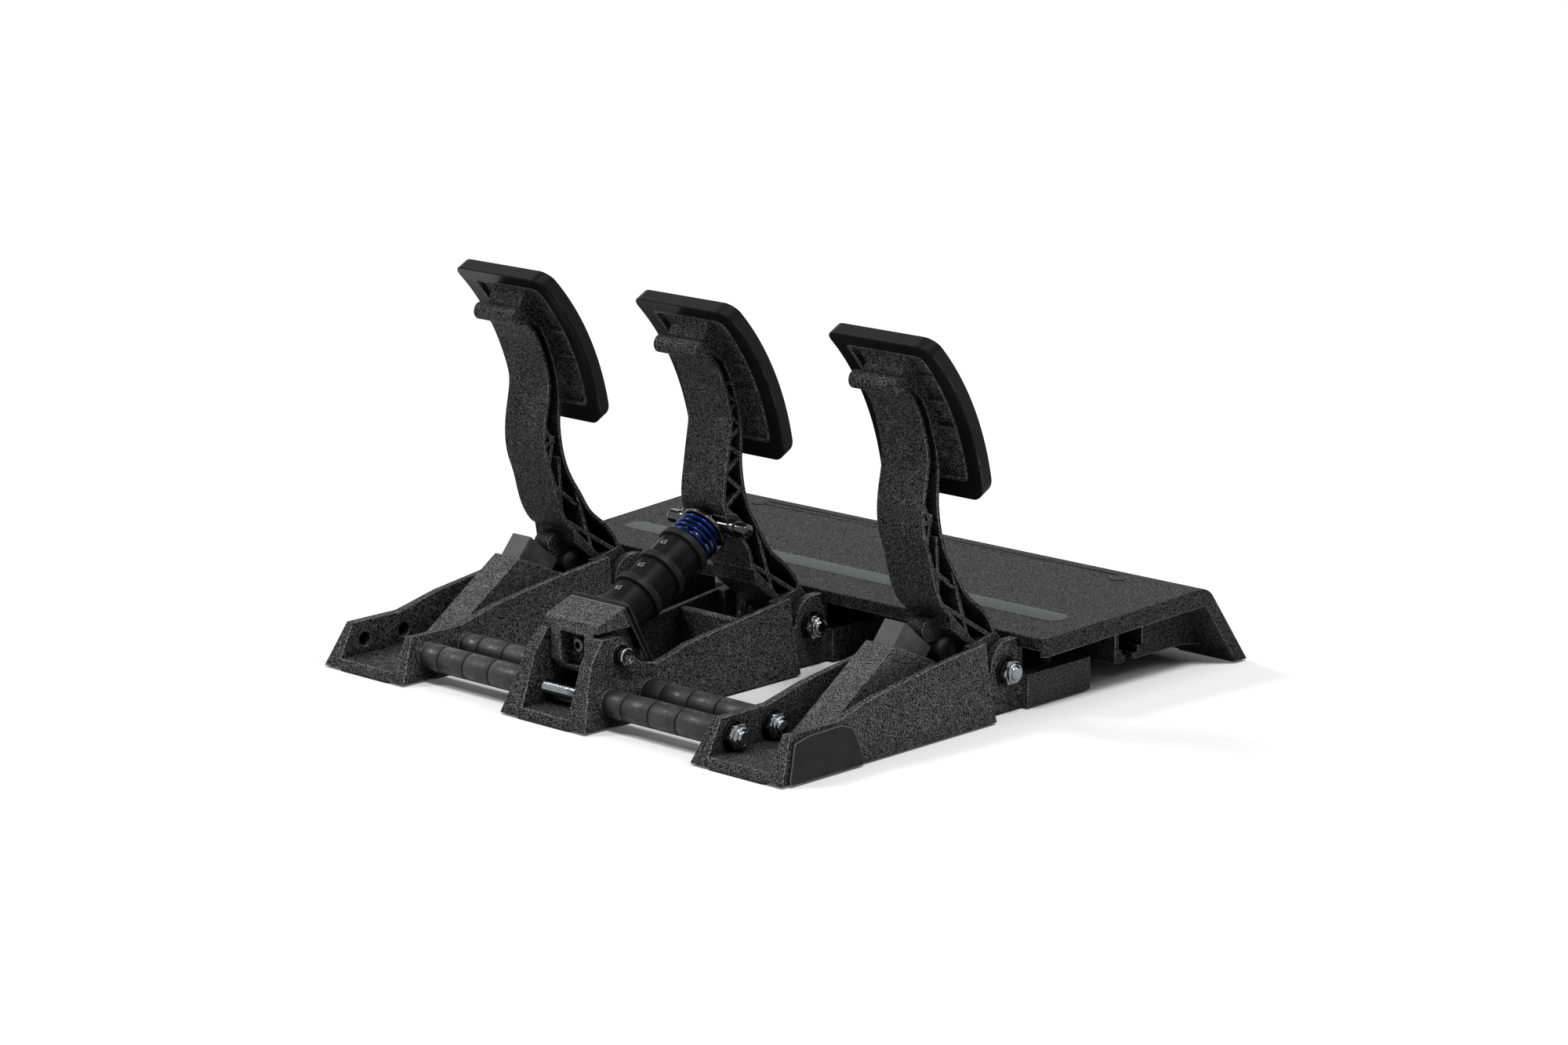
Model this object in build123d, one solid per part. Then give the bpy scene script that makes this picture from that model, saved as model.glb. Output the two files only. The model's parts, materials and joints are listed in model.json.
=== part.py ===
"""Three-pedal set for a driving game: throttle, brake and clutch on one heel plate.

X runs across the set towards the driver's right, Y runs away from the driver and Z is up.
The shapes are worked out from the floor under the frames and from a line 5 mm behind the
pivot axis, and then moved so that the origin is under the middle of the set.
"""
import os
from math import atan2, cos, degrees, pi, radians, sin, sqrt, tan

from build123d import *

os.makedirs("parts", exist_ok=True)

# The set as a whole
pedal_pitch_share = 0.7784
foot_proud = 1.2
cut_over = 1.0
fit_gap = 0.3
edge_round = 0.8

# Pedal frames, moulded in glass-filled nylon
frame_tail = 183.0
frame_front = 19.0
wall_front = 14.5
wall_rise = 42.5
foot_half = 33.0
knee_half = 27.0
knee_height = 24.0
crown_half = 24.4
crown_height = 46.5
channel_half = 22.0
channel_front = 24.0
floor_thick = 5.0
slot_half = 17.0
lug_half = 22.0
lug_height = 40.0
lug_rear = 7.0
lug_round = 14.0
lug_web_rear = 26.0
lug_web_height = 24.0
ear_half = 17.6
ear_behind = 49.0
ear_taper = 6.0
toe_half = 26.0
toe_length = 53.5
toe_height = 18.6
cross_wall_front = 49.0
cross_wall_thick = 6.0
cross_wall_height = 37.0
side_wall_shares = ((1, 0), (0.934, 0.565), (0.738, 0.565), (0.579, 0.729), (0.481, 0.791),
                    (0.342, 0.878), (0.087, 1.0))
brake_wall_shares = ((1, 0), (0.932, 0.812), (0.880, 1.082), (0.814, 1.082), (0.794, 1.052),
                     (0.750, 0.748), (0.725, 0.680), (0.661, 0.626), (0.599, 0.685),
                     (0.538, 0.762), (0.087, 1.0))

# Rods that tie the frames together, with their spacers and nuts
rod_size = 8.0
rod_clearance = 0.2
rod_height = 13.0
rear_rod_behind = 21.0
rod_spread = 29.5
rod_past_nut = 1.0
spacer_size = 15.4
spacer_joint_shares = (0, 0.178, 0.430, 0.683, 1)
spacer_joint = 0.12
washer_size = 16.0
washer_thick = 1.4
nut_across = 13.0
nut_height = 6.5
nut_collar = 11.4
nut_hex_share = 0.68

# Feet and corner caps
foot_length = 20.0
foot_width = 41.0
cap_thick = 2.0
cap_shares = ((0.980, 0), (0.929, 0.471), (0.867, 0.520), (0.733, 0.530), (0.695, 0.468),
              (0.680, 0.365), (0.665, 0))

# Pivots
pivot_place = -5.0
pivot_height = 23.0
pivot_bore = 8.2
bush_size = 11.0
bush_length = 12.0
bolt_head_across = 13.0
bolt_head_height = 5.3
hub_size = 25.0
bolt_crown_share = 1.09

# Pedal arms
arm_width = 32.6
arm_web = 3.0
arm_skin = 2.1
arm_rib = 2.2
arm_rise = 172.0
arm_reach = 84.5
roll_size = 10.0
roll_y_share = 0.9467
roll_z_share = 0.9738
neck_front_share = 0.25
neck_rear_share = 0.3
neck_top_share = 0.43
neck_low_share = 0.4
hub_front_share = 0.44
hub_rise_share = 0.24
nose_size = 12.7
nose_width = 12.0
nose_place = 39.0
nose_height = 50.7
bumper_size = 16.0
bumper_width = 18.0
bumper_place = 27.0
bumper_height = 39.0
rear_edge_shares = ((0.8852, 0.9436), (0.7751, 0.8721), (0.7219, 0.7965), (0.6923, 0.7326),
                    (0.7077, 0.6628), (0.7278, 0.6105), (0.7160, 0.4709), (0.6627, 0.4012),
                    (0.6367, 0.3547), (0.4982, 0.2238), (0.4675, 0.2151), (0.4521, 0.1715),
                    (0.2308, 0.0814))
brake_rear_shares = ((0.8852, 0.9436), (0.7751, 0.8721), (0.7219, 0.7965), (0.6923, 0.7326),
                     (0.7077, 0.6628), (0.7440, 0.5523), (0.7515, 0.4407), (0.7337, 0.4186),
                     (0.6367, 0.3547), (0.4982, 0.2238), (0.4675, 0.2151), (0.4521, 0.1715),
                     (0.2308, 0.0814))
front_edge_shares = ((0.0, 0.1128), (0.0355, 0.1308), (0.2071, 0.2349), (0.2959, 0.2715),
                     (0.3905, 0.3401), (0.4651, 0.3936), (0.5444, 0.4808), (0.5716, 0.5465),
                     (0.5799, 0.5930), (0.5740, 0.6800), (0.5976, 0.7674), (0.6450, 0.8430),
                     (0.6959, 0.9000), (0.7600, 0.9400))
pocket_rear_share = (0.215, 0.105)
side_rib_shares = ((0.500, 0.245, 0.060, 0.112), (0.426, 0.345, 0.240, 0.070),
                   (0.690, 0.400, 0.430, 0.305), (0.585, 0.470, 0.562, 0.250),
                   (0.740, 0.610, 0.645, 0.530), (0.640, 0.545, 0.690, 0.420),
                   (0.740, 0.522, 0.640, 0.530))
brake_rib_shares = ((0.500, 0.245, 0.060, 0.112), (0.426, 0.345, 0.240, 0.070),
                    (0.690, 0.370, 0.470, 0.360), (0.485, 0.350, 0.735, 0.450),
                    (0.740, 0.440, 0.565, 0.500), (0.570, 0.490, 0.745, 0.560),
                    (0.745, 0.550, 0.570, 0.610), (0.570, 0.600, 0.725, 0.660),
                    (0.725, 0.650, 0.555, 0.710), (0.560, 0.700, 0.715, 0.755),
                    (0.720, 0.745, 0.600, 0.790), (0.610, 0.785, 0.760, 0.830),
                    (0.770, 0.850, 0.660, 0.850))
# Foot pads: a moulded tray with a nylon back
pad_width = 72.0
pad_height = 101.6
pad_corner = 8.0
pad_curve = 152.0
pad_axis_y = 173.2
pad_axis_z = 105.9
pad_tilt = 28.06
pad_thick = 8.5
pad_skin = 3.4
pad_border = 9.5
pad_gap = 0.15
back_plate_thick = 2.2
back_rib_thick = 1.8
back_rib_shares = (0.229, 0.0625, -0.105, -0.2825)
boss_top_share = 0.4065
boss_seat_share = 0.305
boss_wide = 38.0
boss_narrow = 31.0
boss_deep = 20.6
spine_width = 26.0
groove_count = 7
groove_pitch = 10.0
groove_wide = 2.4
groove_deep = 1.0
groove_round_share = 0.45

# Spring towers of the throttle and the clutch
tower_half = 10.0
notch_share = 0.4
tower_front = 39.0
tower_front_height = 34.7
tower_top_place = 72.0
tower_top_height = 49.3
tower_foot_place = 138.0
plunger_width = 15.0
plunger_deep = 27.4
plunger_length = 30.0
plunger_wall = 2.4
plunger_top_y = 49.85
plunger_top_z = 50.7
plunger_tilt = 49.7
plunger_travel = 12.24
plunger_end_room = 2.0
return_wire = 1.1
return_turns = 6

# Brake stack: plate, rubber blocks, rings, spring and seat on one line
stack_behind = 53.5
stack_start_z = 46.4
pin_y = 53.5
pin_z = 88.1
collar_share = 0.0565
collar_size = 31.0
rubber_share = 0.18
rubber_size = 27.0
ring_share = 0.0508
ring_size = 31.0
ring_lip = 0.8
pin_arm_travel = 11.6
coil_share = 0.173
coil_size = 27.5
coil_wire_share = 0.16
coil_turns = 3
coil_ease = 0.25
coil_checks = 180
leg_bend_share = 1.25
guide_share = 0.26
seat_share = 0.0288
seat_size = 29.0
eye_size = 15.0
eye_width = 12.0
eye_clearance = 0.5
core_size = 7.4
core_bore = 8.4
cross_pin_size = 8.0
cross_pin_half = 30.0
pin_collar_size = 10.0
pin_collar_long = 5.0

# Load cell plate and the yoke that holds it
cell_half = 21.3
cell_thick = 4.2
cell_above = 17.4
cell_below = 24.0
yoke_half = 20.5
tongue_half = 16.5
yoke_pivot_behind = 34.0
yoke_pivot_height = 36.0
yoke_rear_behind = 23.0
yoke_round = 7.0
yoke_foot = 22.5
yoke_window_half = 9.0
yoke_window_low = 26.6
yoke_window_high = 45.8
yoke_window_deep = 9.0
yoke_shares = ((0.0, 1.0), (0.36, 0.92), (0.96, 0.74), (1.0, 0.67))
yoke_bolt_size = 6.0
yoke_head_size = 10.0
yoke_head_height = 4.2
yoke_washer_size = 12.0
cell_screw_size = 5.0
cell_screw_head = 8.5
cell_screw_height = 38.0
key_size_share = 0.42
key_deep_share = 0.55
head_chamfer_share = 0.0625

# Heel plate
plate_rear = -14.6
plate_front = -184.1
plate_rear_height = 41.7
plate_rise_share = 0.0442
plate_rear_half = 185.0
plate_flare_share = 0.049
plate_skin = 3.0
plate_rim = 10.5
plate_rear_rim = 7.0
plate_rim_wall = 3.0
plate_corner = 4.0
skirt_lean = 36.0
skirt_round = 13.0
skirt_thick = 8.0
strip_front = -59.2
strip_rear = -43.5
strip_half = 168.5
strip_thick = 1.6
strip_proud = 0.2
cover_size = 10.0
cover_reach = 139.4
cover_place = -133.0
cover_thick = 1.2
rail_front = -118.0
rail_rear = -91.2
rail_bottom = 10.7
rail_half = 172.0
rail_neck_front = -106.8
rail_neck_rear = -100.3
rail_stage_front = -111.4
rail_stage_rear = -97.4
rail_stage_height = 18.0
rail_hollow_front = -115.0
rail_hollow_rear = -94.5
rail_hollow_height = 28.0
boss_size = 7.5
boss_place = -45.0
boss_spread = 16.0
toe_screw_size = 4.0
toe_screw_head = 7.0
toe_screw_sunk = 4.0
toe_screw_length = 12.0
skirt_foot_length = 40.0
end_wall_front = -149.0
end_wall_thick = 4.0
gusset_front = -168.0
gusset_low = 8.0

# Control box and its socket, hidden under the plate
box_front = -86.0
box_rear = -52.0
box_bottom = 20.0
box_wall = 2.0
board_thick = 1.6
socket_width = 9.0
socket_height = 3.3
socket_deep = 7.4
socket_mouth_share = 0.8
sensor_width = 14.0
sensor_length = 16.0
magnet_size = 5.0
magnet_thick = 2.0

# Worked out once from the sizes above
pedal_pitch = plate_rear_half * pedal_pitch_share
ear_front = frame_tail - ear_behind
rear_rod_place = frame_tail - rear_rod_behind
front_rod_place = rear_rod_place - rod_spread
yoke_pivot_place = frame_tail - yoke_pivot_behind
yoke_rear = frame_tail - yoke_rear_behind
stack_start_y = frame_tail - stack_behind
stack_tilt = degrees(atan2(pin_z - stack_start_z, stack_start_y - pin_y))
stack_reach = (stack_start_y - pin_y) / cos(radians(stack_tilt))
collar_height = stack_reach * collar_share
rubber_height = stack_reach * rubber_share
ring_height = stack_reach * ring_share
coil_space = stack_reach * coil_share
coil_wire = coil_space * coil_wire_share
seat_height = stack_reach * seat_share
box_left = toe_half - pedal_pitch
box_right = -toe_half
throttle_x = pedal_pitch
brake_x = 0.0
clutch_x = -pedal_pitch
axis_shift = -(frame_tail + plate_front) / 2
spacer_low = rod_height - spacer_size / 2
ear_slope = (knee_half - crown_half) / (crown_height - knee_height)
ear_face = knee_half - ear_slope * (yoke_pivot_height - yoke_washer_size / 2 - knee_height)
spacer_seat = foot_half - (foot_half - knee_half) * spacer_low / knee_height
stack_dir = Vector(0, -cos(radians(stack_tilt)), sin(radians(stack_tilt)))
stack_up = Vector(0, sin(radians(stack_tilt)), cos(radians(stack_tilt)))
pad_normal = Vector(0, -cos(radians(pad_tilt)), sin(radians(pad_tilt)))
pad_up = Vector(0, sin(radians(pad_tilt)), cos(radians(pad_tilt)))
plunger_dir = Vector(0, cos(radians(plunger_tilt)), -sin(radians(plunger_tilt)))


def block(x0, x1, y0, y1, z0, z1):
    """A box between two corners."""
    size = Box(abs(x1 - x0), abs(y1 - y0), abs(z1 - z0))
    return Pos((x0 + x1) / 2, (y0 + y1) / 2, (z0 + z1) / 2) * size


def side_slab(points, x0, x1):
    """A side outline, given as Y and Z, carried across from x0 to x1."""
    return extrude(Plane.YZ.offset(x0) * make_face(Polyline(*points, close=True)), amount=x1 - x0)


def rod_across(y, z, size, x0, x1):
    """A round bar along X."""
    return extrude(Plane.YZ.offset(x0) * Pos(y, z) * Circle(size / 2), amount=x1 - x0)


def pin_up(x, y, size, z0, z1):
    """A round bar along Z."""
    return extrude(Plane.XY.offset(z0) * Pos(x, y) * Circle(size / 2), amount=z1 - z0)


def along(start, direction, size, length):
    """A round bar from a point in a direction."""
    return extrude(Plane(origin=start, z_dir=direction) * Circle(size / 2), amount=length)


def save(shape, node):
    """Move a shape to the set's own origin and write it as a node."""
    export_step(Pos(0, axis_shift, foot_proud) * shape, "parts/" + node + ".step")


def save_group(shapes, node):
    """Write separate pieces as one node."""
    seated = [Pos(0, axis_shift, foot_proud) * shape for shape in shapes]
    export_step(Compound(children=seated), "parts/" + node + ".step")


def stack_point(reach, rise=0.0):
    """A point on the brake's line of rubber blocks."""
    return Vector(0, stack_start_y, stack_start_z) + stack_dir * reach + stack_up * rise


# Frames
def frame_body(wall_shares, rod_sides):
    """The open channel with drafted walls, its lugs and its toe under the heel plate."""
    section = Polyline((-foot_half, 0), (foot_half, 0), (knee_half, knee_height),
                       (crown_half, crown_height), (-crown_half, crown_height),
                       (-knee_half, knee_height), close=True)
    run = frame_tail - wall_front
    shell = extrude(Plane.XZ.offset(-frame_tail) * make_face(section), amount=run)
    outline = [(a * frame_tail, b * wall_rise) for a, b in wall_shares]
    outline += [(wall_front, wall_rise), (wall_front, 0)]
    shell = shell & side_slab(outline, -foot_half, foot_half)
    lug = block(-lug_half, lug_half, -frame_front, lug_rear, 0, lug_height)
    corner = lug.edges().filter_by(Axis.X).sort_by_distance((0, lug_rear, lug_height))[0]
    lug = fillet(corner, lug_round)
    web = block(-lug_half, lug_half, 0, lug_web_rear, 0, lug_web_height)
    toe = block(-toe_half, toe_half, -frame_front - toe_length, -frame_front, 0, toe_height)
    shell += lug + web + toe
    for place in (rear_rod_place, front_rod_place):
        for side in rod_sides:
            shell += rod_across(place, rod_height, spacer_size, 0, side * spacer_seat)
    return shell


def frame_cuts(inner_half):
    """The channel, the slot for the arm, the pivot bore and the two rod bores."""
    channel = block(-inner_half, inner_half, channel_front, frame_tail + cut_over,
                    floor_thick, crown_height + cut_over)
    slot = block(-slot_half, slot_half, -frame_front + edge_round, channel_front + cut_over,
                 floor_thick, crown_height + cut_over)
    mouth = block(-slot_half, slot_half, -frame_front - cut_over, 0,
                  toe_height, crown_height + cut_over)
    bores = rod_across(pivot_place, pivot_height, pivot_bore, -foot_half, foot_half)
    bores += block(-toe_half, toe_half, -frame_front - cut_over, plate_rear + fit_gap,
                   plate_rear_height - plate_rear_rim - fit_gap, lug_height + cut_over)
    for side in (1, -1):
        bores += pin_up(side * boss_spread, boss_place, toe_screw_size, -cut_over,
                        toe_height + cut_over)
        bores += pin_up(side * boss_spread, boss_place, toe_screw_head + 2 * fit_gap, -cut_over,
                        toe_screw_sunk)
    scoop = inner_half - washer_thick - nut_height - rod_past_nut - cut_over
    for place in (rear_rod_place, front_rod_place):
        bores += rod_across(place, rod_height, rod_size + rod_clearance,
                            -foot_half - cut_over, foot_half + cut_over)
        for side in (1, -1):
            bores += rod_across(place, rod_height, washer_size + 2 * fit_gap,
                                side * scoop, side * inner_half)
    return channel + slot + mouth + bores


def side_frame(x):
    """A frame of the throttle or the clutch."""
    body = frame_body(side_wall_shares, (-1 if x > 0 else 1,)) - frame_cuts(channel_half)
    return Pos(x, 0, 0) * body


def brake_frame(x):
    """The brake's frame: its ears stand closer and a low wall crosses the channel."""
    body = frame_body(brake_wall_shares, (1, -1)) - frame_cuts(ear_half)
    widen = make_face(Polyline((-channel_half, channel_front), (channel_half, channel_front),
                               (channel_half, ear_front - ear_taper), (ear_half, ear_front),
                               (-ear_half, ear_front), (-channel_half, ear_front - ear_taper),
                               close=True))
    body -= extrude(Plane.XY.offset(floor_thick) * widen, amount=crown_height)
    wall = block(-channel_half, channel_half, cross_wall_front,
                 cross_wall_front + cross_wall_thick, floor_thick, cross_wall_height)
    wall = fillet(wall.edges().filter_by(Axis.X).group_by(Axis.Z)[-1], cross_wall_thick / 3)
    seats = rod_across(yoke_pivot_place, yoke_pivot_height, yoke_washer_size + edge_round,
                       -ear_face, -ear_half)
    seats += rod_across(yoke_pivot_place, yoke_pivot_height, yoke_washer_size + edge_round,
                        ear_half, ear_face)
    bore = rod_across(yoke_pivot_place, yoke_pivot_height, yoke_bolt_size + rod_clearance,
                      -foot_half, foot_half)
    return Pos(x, 0, 0) * (body + wall + seats - bore)


for name, x in (("throttle", throttle_x), ("clutch", clutch_x)):
    save(side_frame(x), name + "_frame")
save(brake_frame(brake_x), "brake_frame")


# Rods, spacers, washers and nuts that tie the frames together
def lock_nut(y, z, across, height, side, face):
    """A hexagon nut with a round locking collar, standing from a face along X."""
    plane = Plane.YZ.offset(face)
    hexagon = plane * Pos(y, z) * RegularPolygon(across / 2, 6, major_radius=False)
    nut = extrude(hexagon, amount=side * height * nut_hex_share)
    collar = extrude(plane * Pos(y, z) * Circle(across * nut_collar / nut_across / 2),
                     amount=side * height)
    return nut + collar


def washer(y, z, outer, inner, thick, side, face):
    """A flat washer standing from a face along X."""
    ring = Plane.YZ.offset(face) * Pos(y, z) * (Circle(outer / 2) - Circle(inner / 2))
    return extrude(ring, amount=side * thick)


def nut_bored(nut, y, z, size):
    """The nut with its thread bore cut to the rod's size."""
    return nut - rod_across(y, z, size, -pedal_pitch * 2, pedal_pitch * 2)


rod_seat_right = throttle_x - channel_half
rod_seat_left = clutch_x + channel_half
rod_end_right = rod_seat_right + washer_thick + nut_height + rod_past_nut
rod_end_left = rod_seat_left - washer_thick - nut_height - rod_past_nut


def spacer_row(y):
    """The short tubes that a rod carries between the frames."""
    run = pedal_pitch - 2 * spacer_seat
    ring = Circle(spacer_size / 2) - Circle((rod_size + rod_clearance) / 2)
    tubes = []
    for frame_x in (throttle_x, brake_x):
        first = frame_x - spacer_seat
        for near, far in zip(spacer_joint_shares, spacer_joint_shares[1:]):
            start = first - run * near
            long = run * (far - near) - spacer_joint
            tubes.append(extrude(Plane.YZ.offset(start) * Pos(y, rod_height) * ring,
                                 amount=-long))
    return tubes


tie_rods = []
for y in (rear_rod_place, front_rod_place):
    rod = rod_across(y, rod_height, rod_size, rod_end_left, rod_end_right)
    tie_rods.append(chamfer(rod.edges().filter_by(GeomType.CIRCLE), rod_size / 10))
save_group(tie_rods, "tie_rods")
save_group(spacer_row(rear_rod_place) + spacer_row(front_rod_place), "spacer_tubes")

rod_places = [(y, side, seat) for y in (rear_rod_place, front_rod_place)
              for side, seat in ((1, rod_seat_right), (-1, rod_seat_left))]
save_group([washer(y, rod_height, washer_size, rod_size + rod_clearance, washer_thick, side, seat)
            for y, side, seat in rod_places], "tie_rod_washers")
save_group([nut_bored(lock_nut(y, rod_height, nut_across, nut_height, side,
                               seat + side * washer_thick), y, rod_height, rod_size)
            for y, side, seat in rod_places], "tie_rod_nuts")


# Rubber feet and corner caps
def rear_foot(x):
    """The strip under the rear edge of a frame."""
    strip = block(x - foot_width / 2, x + foot_width / 2, frame_tail - foot_length, frame_tail,
                  -foot_proud, 0)
    return chamfer(strip.edges().group_by(Axis.Z)[0], foot_proud / 3)


def front_foot(x):
    """The strip under the toe of a frame."""
    front = -frame_front - toe_length
    strip = block(x - foot_width / 2, x + foot_width / 2, front, front + foot_length,
                  -foot_proud, 0)
    return chamfer(strip.edges().group_by(Axis.Z)[0], foot_proud / 3)


def corner_cap(x, side):
    """The smooth cap that wraps the outer rear corner of an outer frame."""
    outline = [(a * frame_tail, b * wall_rise) for a, b in cap_shares]
    knee = knee_half + cap_thick
    wedge = Polyline((foot_half - cap_thick, 0), (foot_half + cap_thick, 0),
                     (knee, knee_height), (knee - 2 * cap_thick, knee_height), close=True)
    run = frame_tail
    slab = extrude(Plane.XZ.offset(-run) * make_face(wedge), amount=run)
    inner = Polyline((0, 0), (foot_half, 0), (knee_half, knee_height), (0, knee_height),
                     close=True)
    slab -= extrude(Plane.XZ.offset(-run) * make_face(inner), amount=run)
    rounded = make_face(FilletPolyline(*outline, radius=cap_thick, close=True))
    cap = slab & extrude(Plane.YZ * rounded, amount=foot_half + cap_thick)
    if side < 0:
        cap = mirror(cap, Plane.YZ)
    return Pos(x, 0, 0) * cap


save_group([foot(x) for x in (throttle_x, brake_x, clutch_x) for foot in (rear_foot, front_foot)],
           "frame_rubber_feet")
save_group([corner_cap(throttle_x, 1), corner_cap(clutch_x, -1)], "corner_caps")


# Pivot bolts, nuts, washers and bushes
def pivot_bolt(x):
    """A hexagon bolt from the right-hand lug to past the nut on the left."""
    head_face = x + lug_half
    shank_end = x - lug_half - washer_thick - nut_height - rod_past_nut
    hexagon = Pos(pivot_place, pivot_height) * RegularPolygon(bolt_head_across / 2, 6,
                                                              major_radius=False)
    head = extrude(Plane.YZ.offset(head_face) * hexagon, amount=bolt_head_height)
    crown = head & rod_across(pivot_place, pivot_height, bolt_head_across * bolt_crown_share, head_face,
                              head_face + bolt_head_height)
    return crown + rod_across(pivot_place, pivot_height, rod_size, shank_end, head_face)


def bush(x, side):
    """A plain bearing bush pressed into one end of the hub."""
    outer = side * arm_width / 2
    ring = Pos(pivot_place, pivot_height) * (Circle(bush_size / 2) - Circle(pivot_bore / 2))
    return extrude(Plane.YZ.offset(x + outer) * ring, amount=-side * bush_length)


for name, x in (("throttle", throttle_x), ("brake", brake_x), ("clutch", clutch_x)):
    save_group([bush(x, 1), bush(x, -1)], name + "_pivot_bushes")
save_group([pivot_bolt(x) for x in (throttle_x, brake_x, clutch_x)], "pivot_bolts")
save_group([washer(pivot_place, pivot_height, washer_size, rod_size, washer_thick, -1,
                   x - lug_half) for x in (throttle_x, brake_x, clutch_x)], "pivot_washers")
save_group([nut_bored(lock_nut(pivot_place, pivot_height, nut_across, nut_height, -1,
                               x - lug_half - washer_thick), pivot_place, pivot_height, rod_size)
            for x in (throttle_x, brake_x, clutch_x)], "pivot_nuts")


# Pedal arms
def arm_point(share_y, share_z):
    """A point of an arm's side view."""
    return (pivot_place + share_y * arm_reach, pivot_height + share_z * arm_rise)


def inset(points, amount):
    """The same run of points moved to its left-hand side."""
    moved = []
    for index, (y, z) in enumerate(points):
        before = points[max(index - 1, 0)]
        after = points[min(index + 1, len(points) - 1)]
        run = Vector(after[0] - before[0], after[1] - before[1]).normalized()
        moved.append((y - run.Y * amount, z + run.X * amount))
    return moved


def arm_outline(rear_shares):
    """The side view of an arm: two smooth edges between the hub and the rolled top."""
    rear = [arm_point(a, b) for a, b in rear_shares]
    front = [arm_point(a, b) for a, b in front_edge_shares]
    roll = arm_point(roll_y_share, roll_z_share)
    hub_front = (pivot_place - hub_size * hub_front_share,
                 pivot_height + hub_size * hub_rise_share)
    body = make_face([Spline(*rear[:-3]),
                      Polyline(*rear[-4:], (pivot_place, pivot_height), hub_front, *front[:2]),
                      Spline(*front[1:]),
                      Polyline(front[-1], (roll[0], roll[1] + roll_size * neck_low_share), rear[0])])
    hub = Pos(pivot_place, pivot_height) * Circle(hub_size / 2)
    neck_top = (roll[0] - roll_size * neck_front_share, roll[1] + roll_size * neck_top_share)
    neck_low = (roll[0] + roll_size * neck_rear_share, roll[1] - roll_size * neck_low_share)
    neck = make_face(Polyline(front[-1], neck_top, neck_low, rear[0], close=True))
    return body + neck + hub + Pos(*roll) * Circle(roll_size / 2)


def arm_room(gap):
    """The space behind the front edge of an arm, grown by a gap."""
    front = inset([arm_point(a, b) for a, b in front_edge_shares[1:]], gap)
    roll = arm_point(roll_y_share, roll_z_share)
    top = (roll[0] - roll_size * neck_front_share,
           roll[1] + roll_size * neck_top_share + gap)
    behind = (roll[0] + arm_reach, front[0][1])
    room = make_face([Spline(*front), Polyline(front[-1], top, (behind[0], top[1]), behind,
                                               front[0])])
    return room + Pos(*roll) * Circle(roll_size / 2 + gap)


def arm_pocket(rear_shares):
    """The hollow between the skins on the two edges, from above the hub to the roll."""
    rear = inset([arm_point(a, b) for a, b in rear_shares[:-3]], -arm_skin)
    front = inset([arm_point(a, b) for a, b in front_edge_shares[1:]], -arm_skin)
    top = arm_point(roll_y_share, roll_z_share)
    foot = arm_point(*pocket_rear_share)
    return make_face([Polyline(top, rear[0]), Spline(*rear), Polyline(rear[-1], foot, front[0]),
                      Spline(*front), Polyline(front[-1], top)])


def arm_ribs(shares):
    """The thin ribs that stiffen the web."""
    ribs = Sketch()
    for y0, z0, y1, z1 in shares:
        a = Vector(*arm_point(y0, z0))
        b = Vector(*arm_point(y1, z1))
        run = b - a
        turn = degrees(atan2(run.Y, run.X))
        middle = (a + b) * 0.5
        ribs += Pos(middle.X, middle.Y) * Rot(0, 0, turn) * Rectangle(run.length + arm_rib,
                                                                     arm_rib)
    return ribs


def arm_body(rear_shares, rib_shares):
    """An arm with a web, a skin round it and ribs in both its pockets."""
    outline = arm_outline(rear_shares)
    pocket = arm_pocket(rear_shares)
    ribs = pocket & arm_ribs(rib_shares)
    half = arm_width / 2
    body = extrude(Plane.YZ.offset(-half) * outline, amount=arm_width)
    for side in (1, -1):
        hollow = extrude(Plane.YZ.offset(side * arm_web / 2) * (pocket - ribs),
                         amount=side * (half - arm_web / 2 + cut_over))
        body -= hollow
        rim = extrude(Plane.YZ.offset(side * (half - arm_rib / 2)) * pocket,
                      amount=side * arm_rib)
        body -= rim
    return body


def hub_bores():
    """The bolt's bore and the two wider seats of the bushes."""
    half = arm_width / 2
    bores = rod_across(pivot_place, pivot_height, pivot_bore, -half - cut_over, half + cut_over)
    for side in (1, -1):
        seat = Pos(pivot_place, pivot_height) * Circle(bush_size / 2)
        bores += extrude(Plane.YZ.offset(side * (half - bush_length)) * seat,
                         amount=side * (bush_length + cut_over))
    return bores


def side_arm():
    """An arm of the throttle or the clutch, with the nose that pushes its plunger."""
    body = arm_body(rear_edge_shares, side_rib_shares)
    root_y = bumper_place - arm_skin
    nose = Pos(nose_place, nose_height) * Circle(nose_size / 2)
    nose += Pos((nose_place + root_y) / 2, nose_height) * Rectangle(nose_place - root_y,
                                                                   nose_size)
    body += extrude(Plane.YZ.offset(-nose_width / 2) * nose, amount=nose_width)
    body -= pin_up(0, pivot_place, magnet_size, 0, pivot_height - hub_size / 2 + fit_gap +
                   magnet_thick)
    return body - hub_bores()


side_arm_shape = side_arm()
bumper_shape = rod_across(bumper_place, bumper_height, bumper_size, -bumper_width / 2,
                          bumper_width / 2)
bumper_shape = fillet(bumper_shape.edges().filter_by(GeomType.CIRCLE), edge_round) - side_arm_shape
for name, x in (("throttle", throttle_x), ("clutch", clutch_x)):
    save(Pos(x, 0, 0) * side_arm_shape, name + "_arm")
    save(Pos(x, 0, 0) * bumper_shape, name + "_bump_stop")


# Pads: a smooth tray and the ribbed nylon back that sits in it
pad_front_mid = Vector(0, pad_axis_y, pad_axis_z) + pad_normal * pad_curve


def pad_prism(width, height, corner, deep):
    """A rounded column square to the middle of the pad."""
    plane = Plane(origin=pad_front_mid, x_dir=Vector(1, 0, 0), z_dir=pad_normal)
    return extrude(plane * RectangleRounded(width, height, corner), amount=deep, both=True)


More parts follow.
